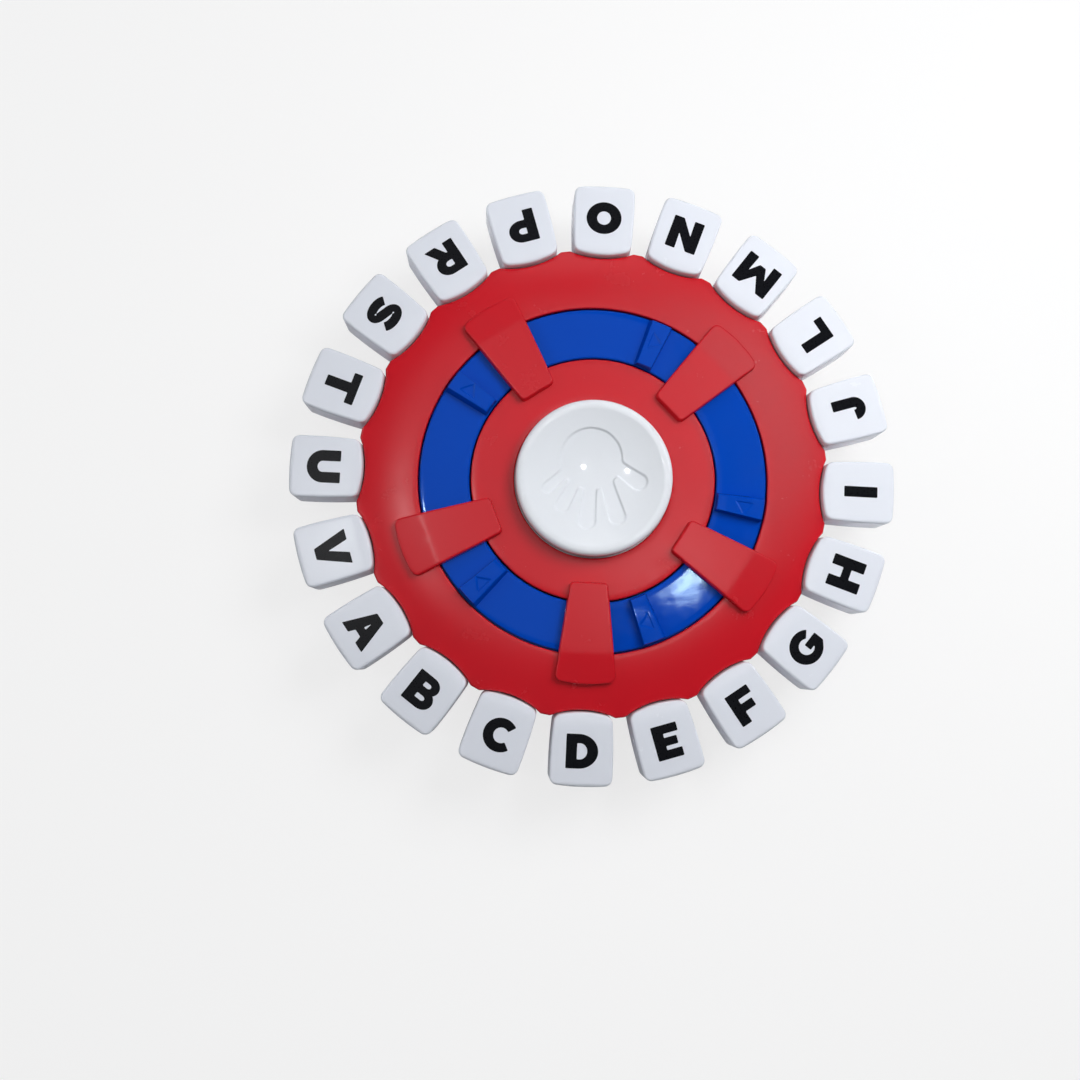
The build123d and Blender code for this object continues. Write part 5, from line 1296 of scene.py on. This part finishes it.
def floor():
    """White to the camera, and still darkened where the wheel shades it."""
    finish = Finish("floor_white", Roughness=0.6, Specular_IOR_Level=0.2)
    finish.set("Base Color", finish.mix(finish.noise(3.0), rgb(0.90, 0.90, 0.90), rgb(0.88, 0.88, 0.885)))
    seen = finish.node("ShaderNodeLightPath", {}, {}, "Is Camera Ray")
    glow = finish.node("ShaderNodeEmission", {}, {"Color": rgb(1.0, 1.0, 1.0), "Strength": 1.0})
    plain = Wire(finish, finish.shader.outputs[0])
    lit = finish.node("ShaderNodeMixShader", {}, {0: seen * FLOOR_GLOW, 1: plain, 2: glow})
    finish.tree.links.new(lit.socket, finish.tree.get_output_node("CYCLES").inputs["Surface"])
    bpy.ops.mesh.primitive_plane_add(size=FLOOR_SIZE, location=(0.0, 0.0, -FLOOR_DROP))
    plane = bpy.context.object
    plane.name = "floor"
    plane.data.materials.append(finish.material)


def lamp(name, place, size, power, colour=(1.0, 1.0, 1.0), aim=(0.0, 0.0, 0.0)):
    """A soft round lamp that faces the wheel, or a place beside it."""
    data = bpy.data.lights.new(name, "AREA")
    data.shape = "DISK"
    data.size = size
    data.energy = power
    data.color = colour
    thing = bpy.data.objects.new(name, data)
    bpy.context.scene.collection.objects.link(thing)
    thing.location = place
    thing.rotation_euler = (Vector(aim) - Vector(place)).to_track_quat("-Z", "Y").to_euler()
    return thing


def backdrop():
    """Pale to the camera, and a faint cool light from all round on the wheel."""
    world = bpy.data.worlds.new("studio")
    world.use_nodes = True
    nodes, link = world.node_tree.nodes, world.node_tree.links.new
    sky = nodes["Background"]
    sky.inputs["Color"].default_value = rgb(0.92, 0.96, 1.0)
    sky.inputs["Strength"].default_value = 0.10
    pale = nodes.new("ShaderNodeBackground")
    pale.inputs["Color"].default_value = rgb(0.93, 0.93, 0.93)
    seen = nodes.new("ShaderNodeLightPath")
    pick = nodes.new("ShaderNodeMixShader")
    link(seen.outputs["Is Camera Ray"], pick.inputs["Fac"])
    link(sky.outputs["Background"], pick.inputs[1])
    link(pale.outputs["Background"], pick.inputs[2])
    link(pick.outputs["Shader"], nodes["World Output"].inputs["Surface"])
    bpy.context.scene.world = world


def lights():
    """Round lamps above and beside the wheel. The window and the fill leave no reflection of themselves."""
    window = lamp("window_right", (0.24, 0.19, 0.45), 0.32, 1.8, (0.985, 0.99, 1.0), (0.15, 0.10, 0.0))
    window.visible_glossy = False
    lamp("ceiling", (-0.22, 0.35, 1.9), 1.1, 1.6)
    lamp("wall_far", (0.0, 1.5, 1.4), 0.9, 2.2)
    lamp("wall_left", (-1.1, -0.25, 1.1), 0.7, 1.9)
    lamp("side_right", (0.75, 0.35, 0.42), 0.28, 0.7)
    lamp("side_left", (-0.80, 0.25, 0.45), 0.28, 0.7)
    fill = lamp("fill_front", (-0.35, -0.75, 0.9), 0.6, 0.6)
    fill.visible_glossy = False
    lamp("lamp_above", (0.312, 0.077, 2.0), 0.07, 0.8)
    lamp("lamp_left", (-0.50, 0.115, 2.0), 0.07, 1.6)


def camera():
    data = bpy.data.cameras.new("camera")
    data.sensor_fit = "HORIZONTAL"
    data.sensor_width = SENSOR_WIDTH
    data.lens = SENSOR_WIDTH * FOCAL_PIXELS / IMAGE_WIDTH
    data.clip_start = 0.01
    thing = bpy.data.objects.new("camera", data)
    bpy.context.scene.collection.objects.link(thing)
    thing.location = Vector(CAMERA_AT) * MM
    thing.rotation_euler = [math.radians(t) for t in CAMERA_TILT]
    bpy.context.scene.camera = thing


red_cover()
blue_ring()
letter_keys()
white_button()
carried_over({"top_housing", "reset_ring", "centre_button", *HINGES})
floor()
backdrop()
lights()
camera()
bpy.context.scene.view_settings.view_transform = "Standard"
